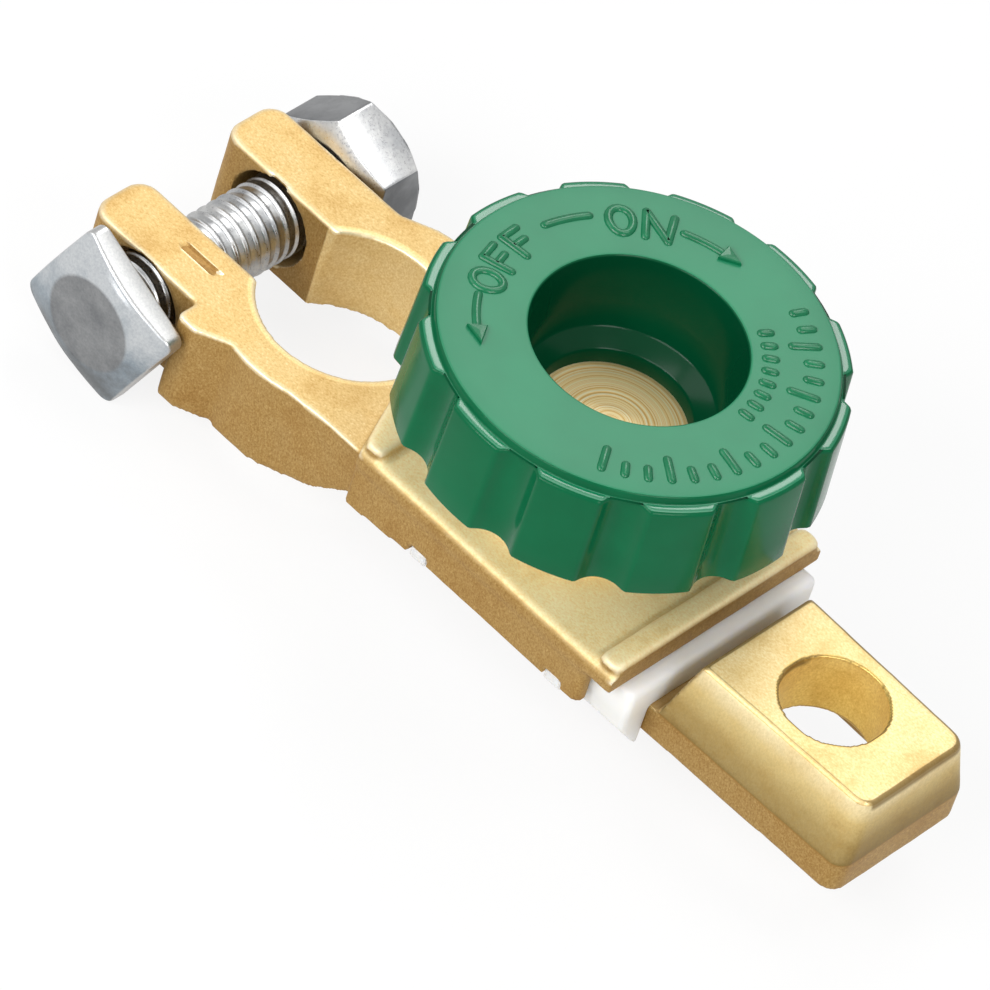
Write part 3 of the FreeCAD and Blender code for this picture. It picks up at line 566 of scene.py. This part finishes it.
def spring_steel():
    """Dark oiled spring steel."""
    material, shader = new_material("spring_steel")
    grain = speckle(material, 2600, 3.0, 0.7)
    colour = ramp(material, grain, [(0.35, (0.10, 0.10, 0.11)), (0.65, (0.24, 0.24, 0.25))])
    connect(material, colour, shader.inputs["Base Color"])
    shader.inputs["Metallic"].default_value = 1.0
    connect(material, span(material, grain, 0.3, 0.45), shader.inputs["Roughness"])
    bumps(material, shader, [(grain, 0.2, 0.01 * MM)])
    return material


# Castings and mouldings that keep their solid's form


def softened(node, name, voxel, passes, waviness):
    """A copy of a node's solid with the rounded edges and slight waves of a casting."""
    mesh = frame["nodes"][node].data.copy()
    mesh.materials.clear()
    piece = new_object(name, mesh)
    weld = piece.modifiers.new("weld", "WELD")
    weld.merge_threshold = 0.001 * MM
    remesh = piece.modifiers.new("remesh", "REMESH")
    remesh.mode = "VOXEL"
    remesh.voxel_size = voxel
    remesh.use_smooth_shade = True
    smooth = piece.modifiers.new("smooth", "SMOOTH")
    smooth.factor = 0.5
    smooth.iterations = passes
    applied(piece)
    normals = [vertex.normal.copy() for vertex in piece.data.vertices]
    places = [vertex.co.copy() for vertex in piece.data.vertices]
    moved = []
    for spot, normal in zip(places, normals):
        wave = noise.noise(spot * WAVES_PER_METRE[0]) + 0.5 * noise.noise(spot * WAVES_PER_METRE[1])
        moved.extend(spot + normal * wave * waviness)
    piece.data.vertices.foreach_set("co", moved)
    piece.data.update()
    return piece


# A plain minus sign sunk into the near ear

SIGN_PLACE = Vector((-0.01185, -0.0078, 0.0103))
SIGN_LENGTH = 4.4 * MM
SIGN_HALF = 0.5 * MM
SIGN_DEPTH = 0.28 * MM


def rounded_bar(name, centre, length, half, depth):
    """A flat bar with round ends that reaches from depth below a face to well above it."""
    outline = []
    for end in (1, -1):
        for step in range(9):
            angle = math.radians(-90 + 180 * step / 8)
            along = length / 2 - half + half * math.cos(angle)
            outline.append((end * along, end * half * math.sin(angle)))
    low = [(centre.x + x * 0.93, centre.y + y * 0.93, centre.z - depth) for x, y in outline]
    high = [(centre.x + x * 1.3, centre.y + y * 1.3, centre.z + 1.5 * depth) for x, y in outline]
    count = len(outline)
    faces = [tuple(range(count)), tuple(range(count, 2 * count))]
    for index in range(count):
        after = (index + 1) % count
        faces.append((index, after, count + after, count + index))
    return mesh_object(name, low + high, faces)


def clamp_casting():
    """The clamp's casting with its minus sign."""
    piece = softened("clamp_body", "clamp_casting", CAST_VOXEL, 2, CAST_WAVINESS)
    combine(piece, rounded_bar("sign", SIGN_PLACE, SIGN_LENGTH, SIGN_HALF, SIGN_DEPTH), "DIFFERENCE")
    # The sign's floor takes the sunk brass, painted darker as shade in the recess.
    for polygon in piece.data.polygons:
        offset = polygon.center - SIGN_PLACE
        inside = abs(offset.x) < SIGN_LENGTH / 2 and abs(offset.y) < SIGN_HALF
        sunk = -1.2 * SIGN_DEPTH < offset.z < -0.45 * SIGN_DEPTH
        polygon.material_index = 1 if inside and sunk else 0
    piece.data.set_sharp_from_angle(angle=math.radians(50))
    return piece


# The knob

KNOB_LOW, KNOB_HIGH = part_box("knob")
FACE_HEIGHT = KNOB_HIGH.z
SKIRT_LOW = 22.1 * MM
SKIRT_RADIUS = (KNOB_HIGH.x - KNOB_LOW.x) / 2
SKIRT_DRAFT = 0.45 * MM
SKIRT_WALL = 2.3 * MM
DECK_LOW = FACE_HEIGHT - 3.1 * MM
FACE_RADIUS = 18.0 * MM
FACE_STEP = 0.75 * MM
WELL_RADIUS = 9.75 * MM
WELL_FOOT = 9.0 * MM
WELL_FLOOR = 24.5 * MM
HEAD_RADIUS = 7.0 * MM
HEAD_LEDGE = 23.6 * MM
HUB_RADIUS = 10.0 * MM
HUB_DRAFT = 1.6 * MM
HUB_LOW = 15.6 * MM
LOBES = 12
VALLEY_TURN = math.radians(11)
VALLEY_RADIUS = 2.5 * MM
VALLEY_DEPTH = 1.25 * MM
LOBE_ROUND = 0.5 * MM
WEBS = 6
WEB_THICK = 1.6 * MM
WEB_HEIGHT = 5.5 * MM
STEPS_PER_LOBE = 44


def valley_limit(angle):
    """Radius of the valley's wall at an angle, or a large value between the valleys."""
    pitch = 2 * math.pi / LOBES
    offset = (angle - VALLEY_TURN + pitch / 2) % pitch - pitch / 2
    middle = SKIRT_RADIUS - VALLEY_DEPTH + VALLEY_RADIUS
    aside = middle * math.sin(offset)
    if abs(aside) >= VALLEY_RADIUS:
        return middle + abs(aside)
    return middle * math.cos(offset) - math.sqrt(VALLEY_RADIUS ** 2 - aside ** 2)


def soft_minimum(first, second, blend):
    """The smaller of two values, rounded where they cross."""
    share = max(blend - abs(first - second), 0.0) / blend
    return min(first, second) - share * share * blend * 0.25


def knob_section():
    """The knob's section as (radius, height, inset from the lobed flank or None)."""
    rim = 0.32 * MM
    edge = 0.42 * MM
    land = FACE_HEIGHT - FACE_STEP
    foot = FACE_RADIUS + 0.1 * MM
    section = []

    def plain(points):
        section.extend((radius, height, None) for radius, height in points)

    def flank(points, base):
        section.extend((radius, height, base - radius) for radius, height in points)

    plain([(HEAD_RADIUS, HUB_LOW), (HUB_RADIUS - rim, HUB_LOW)])
    plain([(HUB_RADIUS, HUB_LOW + rim), (HUB_RADIUS + HUB_DRAFT, DECK_LOW - rim)])
    inner_top = SKIRT_RADIUS - SKIRT_DRAFT - SKIRT_WALL
    plain([(HUB_RADIUS + HUB_DRAFT + rim, DECK_LOW), (inner_top - rim, DECK_LOW)])
    plain([(inner_top, DECK_LOW - rim), (SKIRT_RADIUS - SKIRT_WALL, SKIRT_LOW + rim)])
    plain([(SKIRT_RADIUS - SKIRT_WALL + rim / 2, SKIRT_LOW)])
    hem = 0.25 * MM
    flank(round_strip((SKIRT_RADIUS - hem, SKIRT_LOW + hem), hem, -90, 0, 4), SKIRT_RADIUS)
    for share in (0.25, 0.5, 0.75):
        height = SKIRT_LOW + share * (land - SKIRT_LOW)
        flank([(SKIRT_RADIUS - share * SKIRT_DRAFT, height)], SKIRT_RADIUS)
    high = SKIRT_RADIUS - SKIRT_DRAFT
    flank(round_strip((high - edge, land - edge), edge, 0, 84, 6), SKIRT_RADIUS)
    plain([(foot + 0.35 * MM, land + 0.02 * MM)])
    plain(round_strip((foot + 0.15 * MM, land + 0.15 * MM), 0.15 * MM, -90, -180, 3))
    plain(round_strip((FACE_RADIUS - rim, FACE_HEIGHT - rim), rim, 6, 90, 5))
    for share in (0.2, 0.4, 0.6, 0.8):
        plain([(FACE_RADIUS - rim - share * (FACE_RADIUS - rim - WELL_RADIUS - rim), FACE_HEIGHT)])
    plain(round_strip((WELL_RADIUS + rim, FACE_HEIGHT - rim), rim, 90, 175, 5))
    for share in (0.33, 0.66):
        height = FACE_HEIGHT - share * (FACE_HEIGHT - WELL_FLOOR)
        plain([(WELL_RADIUS - share * (WELL_RADIUS - WELL_FOOT), height)])
    plain([(WELL_FOOT, WELL_FLOOR + 0.2 * MM), (WELL_FOOT - 0.2 * MM, WELL_FLOOR)])
    plain([(HEAD_RADIUS + 0.2 * MM, HEAD_LEDGE + 0.05 * MM), (HEAD_RADIUS, HEAD_LEDGE - 0.2 * MM)])
    return section


def knob_shell():
    """The revolved and lobed moulding, as one closed skin."""
    section = knob_section()
    turns = LOBES * STEPS_PER_LOBE
    vertices = []
    for turn in range(turns):
        angle = 2 * math.pi * turn / turns
        limit = valley_limit(angle)
        for radius, height, inset in section:
            if inset is not None:
                radius = soft_minimum(radius, limit - inset, LOBE_ROUND)
            vertices.append((KNOB_AXIS.x + radius * math.cos(angle),
                             KNOB_AXIS.y + radius * math.sin(angle), height))
    count = len(section)
    faces = []
    for turn in range(turns):
        following = (turn + 1) % turns
        for step in range(count):
            after = (step + 1) % count
            faces.append((turn * count + step, turn * count + after,
                          following * count + after, following * count + step))
    return mesh_object("knob_moulding", vertices, faces)


def box_object(name, low, high):
    """A closed box, used as a tool for cuts and joins."""
    corners = [Vector((x, y, z)) for x in (low[0], high[0]) for y in (low[1], high[1])
               for z in (low[2], high[2])]
    faces = [(0, 1, 3, 2), (4, 6, 7, 5), (0, 4, 5, 1), (2, 3, 7, 6), (0, 2, 6, 4), (1, 5, 7, 3)]
    return mesh_object(name, corners, faces)


def combine(piece, tool, how):
    """Joins a tool to a piece or cuts it away, and removes the tool."""
    step = piece.modifiers.new("combine", "BOOLEAN")
    step.operation = how
    step.solver = "MANIFOLD"
    step.object = tool
    bpy.context.view_layer.update()
    applied(piece)
    bpy.data.objects.remove(tool)
    return piece


def knob_piece():
    """The knob with the webs under its top."""
    piece = knob_shell()
    for web in range(WEBS):
        angle = 2 * math.pi * web / WEBS
        reach = (HUB_RADIUS + HUB_DRAFT - 0.6 * MM, SKIRT_RADIUS - SKIRT_WALL - SKIRT_DRAFT + 0.6 * MM)
        tool = box_object("web", (reach[0], -WEB_THICK / 2, DECK_LOW - WEB_HEIGHT),
                          (reach[1], WEB_THICK / 2, DECK_LOW + 1 * MM))
        tool.data.transform(Matrix.Translation((KNOB_AXIS.x, KNOB_AXIS.y, 0))
                            @ Matrix.Rotation(angle, 4, "Z"))
        combine(piece, tool, "UNION")
    for polygon in piece.data.polygons:
        level = polygon.center.z > FACE_HEIGHT - FACE_STEP - 0.1 * MM and polygon.normal.z > 0.9
        polygon.material_index = 1 if level else 0
    return piece


# Raised marks on the knob's face

STROKE = 0.46 * MM
STROKE_SINK = 0.16 * MM

# Letters: width in millimetres and strokes in shares of the width and height; O is a ring
LETTERS = {
    "N": (2.3, [[(0, 0), (0, 1)], [(0, 1), (1, 0)], [(1, 0), (1, 1)]]),
    "F": (1.7, [[(0, 0), (0, 1)], [(0, 1), (1, 1)], [(0, 0.52), (0.85, 0.52)]]),
    "O": (2.2, None),
}
LETTER_GAP = 1.15 * MM

# Words: text, height, angle of the middle in degrees, radius
WORDS = (("ON", 3.0 * MM, 134, 13.8 * MM), ("OFF", 2.8 * MM, 196, 14.0 * MM))

# The dash between the words: radius, start and end in degrees
DASH = (14.4 * MM, 152.5, 170)

# Arrows: radius, start of the shaft and tip in degrees, with one size of head for all
ARROWS = ((14.4 * MM, 215.5, 239), (13.95 * MM, 117.5, 93.6))
ARROW_TURN = 8.5
ARROW_WING = 0.95 * MM

# Rows of ticks: count, first angle in degrees, outer radius, inner radii taken in turn
TICK_STEP = 7.4
TICK_ROWS = (
    (18, -58, 16.0 * MM, (13.7 * MM, 14.9 * MM, 14.9 * MM)),
    (8, 8, 12.0 * MM, (11.2 * MM,)),
)


def on_face(radius, degrees):
    """A point on the knob's face."""
    angle = math.radians(degrees)
    return Vector((KNOB_AXIS.x + radius * math.cos(angle), KNOB_AXIS.y + radius * math.sin(angle),
                   FACE_HEIGHT - STROKE_SINK))


def bent(points, centre, radius, closed=False):
    """Bends flat strokes in metres round the face, tops outwards, about a centre in degrees."""
    return ([on_face(radius + up, centre - math.degrees(along / radius)) for along, up in points],
            closed)


def word_strokes(word, height, centre, radius):
    """The strokes of a word, centred on an angle."""
    widths = [LETTERS[letter][0] * MM for letter in word]
    start = -(sum(widths) + LETTER_GAP * (len(word) - 1)) / 2
    strokes = []
    for letter, width in zip(word, widths):
        if letter == "O":
            ring = []
            for step in range(20):
                angle = 2 * math.pi * step / 20
                ring.append((start + width / 2 * (1 + math.cos(angle)), height / 2 * math.sin(angle)))
            strokes.append(bent(ring, centre, radius, True))
        else:
            for line in LETTERS[letter][1]:
                points = [(start + across * width, (up - 0.5) * height) for across, up in line]
                strokes.append(bent(points, centre, radius))
        start += width + LETTER_GAP
    return strokes


def arc_stroke(radius, start, end):
    """A stroke along the face from one angle to another."""
    steps = 8
    return [on_face(radius, start + (end - start) * step / steps) for step in range(steps + 1)], False


def arrow_head(radius, start, end):
    """A raised three-sided arrow head whose tip is at end."""
    turn = 1 if end > start else -1
    base = end - turn * ARROW_TURN
    middle = on_face(radius, base + turn * ARROW_TURN * 0.36)
    outline = [on_face(radius - ARROW_WING, base), on_face(radius, end), on_face(radius + ARROW_WING, base)]
    rows = []
    for scale, lift in ((1.0, -0.05 * MM), (0.96, 0.28 * MM), (0.82, 0.40 * MM)):
        rows += [middle + (corner - middle) * scale + Vector((0, 0, STROKE_SINK + lift))
                 for corner in outline]
    rows.append(middle + Vector((0, 0, STROKE_SINK + 0.46 * MM)))
    faces = [(0, 1, 2)]
    for row in (0, 3):
        for index in range(3):
            after = (index + 1) % 3
            faces.append((row + index, row + after, row + 3 + after, row + 3 + index))
    faces += [(6, 7, 9), (7, 8, 9), (8, 6, 9)]
    piece = mesh_object("arrow_head", rows, faces)
    piece.data.shade_flat()
    return piece


def tick_strokes():
    """Plain ticks like those of a dial, in two rows."""
    strokes = []
    for count, first, outer, inner in TICK_ROWS:
        for index in range(count):
            degrees = first + index * TICK_STEP
            start = on_face(inner[index % len(inner)], degrees)
            strokes.append(([start, on_face(outer, degrees)], False))
    return strokes


def round_ends(points):
    """Adds half-round ends to an open stroke: its points and their shares of the full radius."""
    ends = []
    for first, second in ((points[0], points[1]), (points[-1], points[-2])):
        outward = (first - second).normalized() * STROKE
        ends.append([(first + outward * math.sin(math.radians(step)), math.cos(math.radians(step)))
                     for step in (25, 50, 70, 87)])
    before, after = ends
    whole = before[::-1] + [(point, 1.0) for point in points] + after
    return [point for point, _ in whole], [radius for _, radius in whole]


def knob_marks():
    """ON, OFF, their arrows, the dash between them and the ticks, as raised rounded strokes."""
    strokes = []
    for word in WORDS:
        strokes += word_strokes(*word)
    strokes.append(arc_stroke(*DASH))
    for radius, start, end in ARROWS:
        turn = 1 if end > start else -1
        strokes.append(arc_stroke(radius, start, end - turn * ARROW_TURN))
    strokes += tick_strokes()
    curve = bpy.data.curves.new("knob_marks", "CURVE")
    curve.dimensions = "3D"
    curve.bevel_depth = STROKE
    curve.bevel_resolution = 3
    curve.use_fill_caps = True
    for points, closed in strokes:
        radii = [1.0] * len(points)
        if not closed:
            points, radii = round_ends(points)
        spline = curve.splines.new("POLY")
        spline.points.add(len(points) - 1)
        for point, where, radius in zip(spline.points, points, radii):
            point.co = (*where, 1)
            point.radius = radius
        spline.use_cyclic_u = closed
    thing = new_object("knob_marks", curve)
    graph = bpy.context.evaluated_depsgraph_get()
    mesh = bpy.data.meshes.new_from_object(thing.evaluated_get(graph))
    bpy.data.objects.remove(thing)
    mesh.shade_smooth()
    whole = bmesh.new()
    whole.from_mesh(mesh)
    for arrow in ARROWS:
        head = arrow_head(*arrow)
        whole.from_mesh(head.data)
        bpy.data.objects.remove(head)
    whole.to_mesh(mesh)
    whole.free()
    return new_object("knob_marks", mesh)


# Bolt and nut, as skins round the bolt's axis

BOLT_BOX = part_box("clamp_bolt")
NUT_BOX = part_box("clamp_nut")

# Thread: outer radius, depth, pitch, rings for each turn, and how sharply its crests rise
THREAD_RADIUS = 3.95 * MM
THREAD_DEPTH = 0.24 * MM
THREAD_PITCH = 1.25 * MM
THREAD_RINGS = 20
THREAD_CREST = 9

# Square head: from its crown disc, the face slopes back towards the rounded corners
HEAD_BACK = -14.6 * MM
HEAD_FRONT = BOLT_BOX[0].y
HEAD_HALF = 6.5 * MM
HEAD_TURN = math.radians(22)
HEAD_CORNER_ROUND = 1.05 * MM
HEAD_FACE_EDGE = 0.5 * MM
HEAD_BACK_EDGE = 0.25 * MM
CROWN_RADIUS = 4.8 * MM
CROWN_DROP = 1.3 * MM

# Nut: each end has the radius of its flat land and the depth of its bevel
NUT_HALF = 6.5 * MM
NUT_TURN = math.radians(37)
NUT_CORNER_ROUND = 0.35 * MM
NUT_SEAT = (5.1 * MM, 1.05 * MM)
NUT_END = (6.4 * MM, 0.65 * MM)
# Side facets of the nut painted darker, as shade; the others take the lighter, lit zinc
SHADED_FACETS = (1, 3, 5)

# Radius of the small ring in the middle of a closed end
END_RING = 0.3 * MM


def prism_radius(angle, sides, half_width, corner_turn, corner_round):
    """Distance from the axis to the flank of a regular prism with rounded corners."""
    pitch = 2 * math.pi / sides
    offset = abs((angle - corner_turn + pitch / 2) % pitch - pitch / 2)
    centre = (half_width - corner_round) / math.cos(pitch / 2)
    tangent = math.atan2(corner_round * math.sin(pitch / 2), centre + corner_round * math.cos(pitch / 2))
    if offset > tangent:
        return half_width / math.cos(pitch / 2 - offset)
    return centre * math.cos(offset) + math.sqrt(corner_round ** 2 - (centre * math.sin(offset)) ** 2)


def skin(name, rings, closed_ends):
    """A closed skin through rings of (radius, Y) lists round the bolt's axis."""
    turns = len(rings[0])
    vertices = []
    for ring in rings:
        for turn, (radius, along) in enumerate(ring):
            angle = 2 * math.pi * turn / turns
            vertices.append((BOLT_AXIS.x + radius * math.cos(angle), along,
                             BOLT_AXIS.z + radius * math.sin(angle)))
    faces = []
    rows = len(rings)
    last = rows - 1 if closed_ends else rows
    for row in range(last):
        below = (row + 1) % rows
        for turn in range(turns):
            following = (turn + 1) % turns
            faces.append((row * turns + turn, row * turns + following,
                          below * turns + following, below * turns + turn))
    if closed_ends:
        faces.append(tuple(range(turns)))
        faces.append(tuple(range((rows - 1) * turns, rows * turns)))
    return mesh_object(name, vertices, faces)


def ring_of(turns, radius, along):
    """One ring, its radius and place given as numbers or as functions of the angle."""
    ring = []
    for turn in range(turns):
        angle = 2 * math.pi * turn / turns
        ring.append([value(angle) if callable(value) else value for value in (radius, along)])
    return ring


def bolt_head():
    """The square head: flat crown disc, sloped shoulders, rounded corners and edges."""
    turns = 240
    slope = CROWN_DROP / (HEAD_HALF * math.sqrt(2) - CROWN_RADIUS)

    def flank(angle):
        return prism_radius(angle, 4, HEAD_HALF, HEAD_TURN, HEAD_CORNER_ROUND)

    def face(radius):
        return HEAD_FRONT + max(radius - CROWN_RADIUS, 0) * slope

    rings = [ring_of(turns, radius, HEAD_FRONT) for radius in (END_RING, 2.4 * MM, 4.55 * MM)]
    rings.append(ring_of(turns, CROWN_RADIUS, HEAD_FRONT + 0.01 * MM))
    for share in (0.08, 0.35, 0.7):

        def shoulder(angle):
            return CROWN_RADIUS + share * (flank(angle) - CROWN_RADIUS)

        rings.append(ring_of(turns, shoulder, lambda angle: face(shoulder(angle))))
    for shift, lift in round_strip((-HEAD_FACE_EDGE, HEAD_FACE_EDGE), HEAD_FACE_EDGE, -80, 0, 5):
        rings.append(ring_of(turns, lambda angle: flank(angle) + shift,
                             lambda angle: face(flank(angle)) + lift))
    for shift, lift in round_strip((-HEAD_BACK_EDGE, -HEAD_BACK_EDGE), HEAD_BACK_EDGE, 0, 80, 5):
        rings.append(ring_of(turns, lambda angle: flank(angle) + shift, HEAD_BACK + lift))
    rings.append(ring_of(turns, 4.4 * MM, HEAD_BACK))
    rings.append(ring_of(turns, END_RING, HEAD_BACK))
    return skin("clamp_bolt_head", rings, True)


def bolt_shank():
    """The shank with its rolled thread, whose crests are narrow and valleys wide."""
    turns = 96
    start = HEAD_BACK - 1.0 * MM
    end = BOLT_BOX[1].y
    count = int((end - start) / (THREAD_PITCH / THREAD_RINGS))
    plain_end = HEAD_BACK + 1.4 * MM
    run_out = 1.0 * MM
    bevel = 0.8 * MM
    rings = [ring_of(turns, END_RING, start)]
    for row in range(count + 1):
        along = start + (end - start) * row / count

        def radius(angle):
            phase = along / THREAD_PITCH - angle / (2 * math.pi)
            crest = abs(math.cos(math.pi * phase)) ** THREAD_CREST
            depth = THREAD_DEPTH * min(max((along - plain_end) / run_out, 0), 1)
            bevelled = THREAD_RADIUS - max(along - (end - bevel), 0)
            return min(THREAD_RADIUS - depth * (1 - crest), bevelled)

        rings.append(ring_of(turns, radius, along))
    rings.append(ring_of(turns, END_RING, end))
    return skin("clamp_bolt_shank", rings, True)


def nut_piece():
    """The hexagon nut, bevelled at both ends, with a countersunk bore."""
    turns = 240
    low, high = NUT_BOX[0].y, NUT_BOX[1].y
    edge = 0.12 * MM
    bore = THREAD_RADIUS + 0.04 * MM

    def flank(angle):
        return prism_radius(angle, 6, NUT_HALF, NUT_TURN, NUT_CORNER_ROUND)

    rings = [ring_of(turns, bore, (low + high) / 2)]
    for end, sign, (land, bevel) in ((low, 1, NUT_SEAT), (high, -1, NUT_END)):
        slope = bevel / (NUT_HALF / math.cos(math.pi / 6) - land)

        def drop(angle):
            return max(flank(angle) - land, 0) * slope

        side = [
            ring_of(turns, bore, end + sign * 0.6 * MM),
            ring_of(turns, bore + 0.55 * MM, end + sign * 0.03 * MM),
            ring_of(turns, bore + 0.75 * MM, end),
            ring_of(turns, land - edge, end),
            ring_of(turns, lambda angle: min(land + edge, flank(angle) - 0.5 * edge),
                    end + sign * 0.3 * edge * slope),
            ring_of(turns, lambda angle: flank(angle) - edge,
                    lambda angle: end + sign * (drop(angle) + 0.2 * edge)),
            ring_of(turns, lambda angle: flank(angle) - 0.25 * edge,
                    lambda angle: end + sign * (drop(angle) + 0.8 * edge)),
            ring_of(turns, flank, lambda angle: end + sign * (drop(angle) + 1.8 * edge)),
        ]
        rings += side if sign > 0 else side[::-1]
    piece = skin("clamp_nut_body", rings, False)
    # Painted shade: the listed side facets take the second, darker zinc.
    for polygon in piece.data.polygons:
        across = polygon.center - BOLT_AXIS
        facet = int(((math.atan2(across.z, across.x) - NUT_TURN) % (2 * math.pi)) / (math.pi / 3))
        side_on = abs(polygon.normal.y) < 0.4 and math.hypot(across.x, across.z) > 0.9 * NUT_HALF
        polygon.material_index = 1 if side_on and facet in SHADED_FACETS else 0
    return piece


# Stage, lamps and camera


def mix_shaders(material, share, first, second, target):
    """Mixes two shaders into a socket by a share."""
    mix = add_node(material, "ShaderNodeMixShader")
    for socket, value in zip(mix.inputs, (share, first, second)):
        connect(material, value, socket)
    connect(material, mix.outputs["Shader"], target)


def make_stage():
    """A pale floor just under the lowest corner of the bolt's head."""
    level = cad_box[0].z - FLOOR_DROP
    corners = [(x * FLOOR_SIZE, y * FLOOR_SIZE, level) for x, y in ((-1, -1), (1, -1), (1, 1), (-1, 1))]
    floor = mesh_object("floor", corners, [(0, 1, 2, 3)])
    material, shader = new_material("floor_pale")
    shader.inputs["Base Color"].default_value = (0.86, 0.86, 0.86, 1)
    shader.inputs["Roughness"].default_value = 0.9
    shader.inputs["Specular IOR Level"].default_value = 0.0
    light_path = add_node(material, "ShaderNodeLightPath")
    seen = arithmetic(material, "MULTIPLY_ADD", light_path.outputs["Is Glossy Ray"], GLOSSY_SHARE,
                      light_path.outputs["Is Camera Ray"])
    glow = add_node(material, "ShaderNodeEmission", Strength=1.0)
    output = shader.outputs["BSDF"].links[0].to_socket
    mix_shaders(material, arithmetic(material, "MULTIPLY", seen, FLOOR_GLOW),
                shader.outputs["BSDF"], glow.outputs["Emission"], output)
    floor.data.materials.append(material)


def make_world():
    """White to the camera and in reflections, a soft grey fill for everything else."""
    world = bpy.data.worlds.new("studio")
    bpy.context.scene.world = world
    world.use_nodes = True
    world.node_tree.nodes.clear()
    output = add_node(world, "ShaderNodeOutputWorld")
    fill = add_node(world, "ShaderNodeBackground", Strength=FILL_STRENGTH)
    white = add_node(world, "ShaderNodeBackground", Strength=1.0)
    light_path = add_node(world, "ShaderNodeLightPath")
    seen = arithmetic(world, "MAXIMUM", light_path.outputs["Is Camera Ray"],
                      light_path.outputs["Is Transmission Ray"])
    seen = arithmetic(world, "MAXIMUM", seen, light_path.outputs["Is Glossy Ray"])
    mix_shaders(world, seen, fill.outputs[0], white.outputs[0], output.inputs["Surface"])


def make_lamp(name, direction, size, strength):
    """A soft rectangular lamp that points at the middle of the part."""
    middle = (cad_box[0] + cad_box[1]) / 2
    data = bpy.data.lights.new(name, "AREA")
    data.shape = "RECTANGLE"
    data.size, data.size_y = size
    data.energy = strength * math.pi * size[0] * size[1]
    lamp = new_object(name, data)
    direction = Vector(direction).normalized()
    lamp.location = middle + direction * LAMP_DISTANCE
    lamp.rotation_mode = "QUATERNION"
    lamp.rotation_quaternion = direction.to_track_quat("Z", "Y")


def make_camera():
    """The photograph's view."""
    data = bpy.data.cameras.new("camera")
    data.sensor_width = SENSOR_WIDTH
    data.lens = CAMERA_LENS
    data.clip_start = 0.05
    data.clip_end = 10
    camera = new_object("camera", data)
    backward = CAMERA_RIGHT.cross(CAMERA_UP)
    turn = Matrix((CAMERA_RIGHT, CAMERA_UP, backward)).transposed()
    camera.matrix_world = Matrix.Translation(CAMERA_PLACE) @ turn.to_4x4()
    bpy.context.scene.camera = camera


def finish_piece(piece, materials, body, slot, *nodes):
    """Gives a piece its materials and its body and hides the nodes that it stands for; slot is not used."""
    for index, material in enumerate(materials):
        if index < len(piece.data.materials):
            piece.data.materials[index] = material
        else:
            piece.data.materials.append(material)
    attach(piece, body)
    if nodes:
        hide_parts(*nodes)


def main():
    """Builds every piece, the stage, the lamps and the camera."""
    bpy.context.scene.view_settings.view_transform = "Standard"
    make_camera()
    make_stage()
    make_world()
    for lamp in LAMPS:
        make_lamp(*lamp)

    clamp_brass = cast_brass("cast_brass", seam=None, metallic=0.42, dullness=0.50,
                             painted_crest_tone=(1.0, 0.93, 0.70), pale_above=PLATE_TOP, paleness=1.0,
                             bore=POST_BORE, bore_tones=((0.76, 0.52, 0.20), (1.0, 0.84, 0.46)))
    tail_brass = cast_brass("tail_brass", seam=TONGUE_TOP, metallic=0.6, dullness=0.42,
                            painted_crest_tone=(0.30, 0.20, 0.07), pale_above=TONGUE_TOP, paleness=0.45,
                            bore=CABLE_BORE, bore_tones=((0.74, 0.47, 0.09), (1.0, 0.77, 0.24)))
    finish_piece(clamp_casting(), [clamp_brass, sunk_brass()], "base", "cast_brass", "clamp_body")
    finish_piece(softened("tail_terminal", "tail_casting", TAIL_VOXEL, 3, CAST_WAVINESS),
                 [tail_brass], "base", "cast_brass", "tail_terminal")
    finish_piece(softened("insulator", "insulator_moulding", WHITE_VOXEL, 4, WHITE_WAVINESS),
                 [white_nylon()], "base", "white_nylon", "insulator")
    finish_piece(knob_piece(), [green_plastic(), green_face()], "knob", "green_plastic", "knob")
    finish_piece(knob_marks(), [green_marks()], "knob", "green_plastic")
    # The nut's zinc in a lit and a shaded copy: painted light and shade on its facets.
    lit_facet_steel = zinc_steel("zinc_lit_facets", (0.48, 0.49, 0.50), (0.68, 0.68, 0.67), 0.30)
    shaded_facet_steel = zinc_steel("zinc_shaded_facets", (0.16, 0.165, 0.17), (0.27, 0.275, 0.28), 0.36)
    thread_steel = zinc_steel("zinc_thread", (0.30, 0.31, 0.32), (0.56, 0.56, 0.55), 0.30)
    finish_piece(bolt_head(), [head_steel()], "bolt", "zinc_steel", "clamp_bolt")
    finish_piece(bolt_shank(), [thread_steel], "bolt", "zinc_steel")
    finish_piece(nut_piece(), [lit_facet_steel, shaded_facet_steel], "nut", "zinc_steel", "clamp_nut")
    for node, material in (("contact_stud", turned_brass()), ("retaining_ring", spring_steel())):
        mesh = frame["nodes"][node].data
        mesh.materials.clear()
        mesh.materials.append(material)


main()
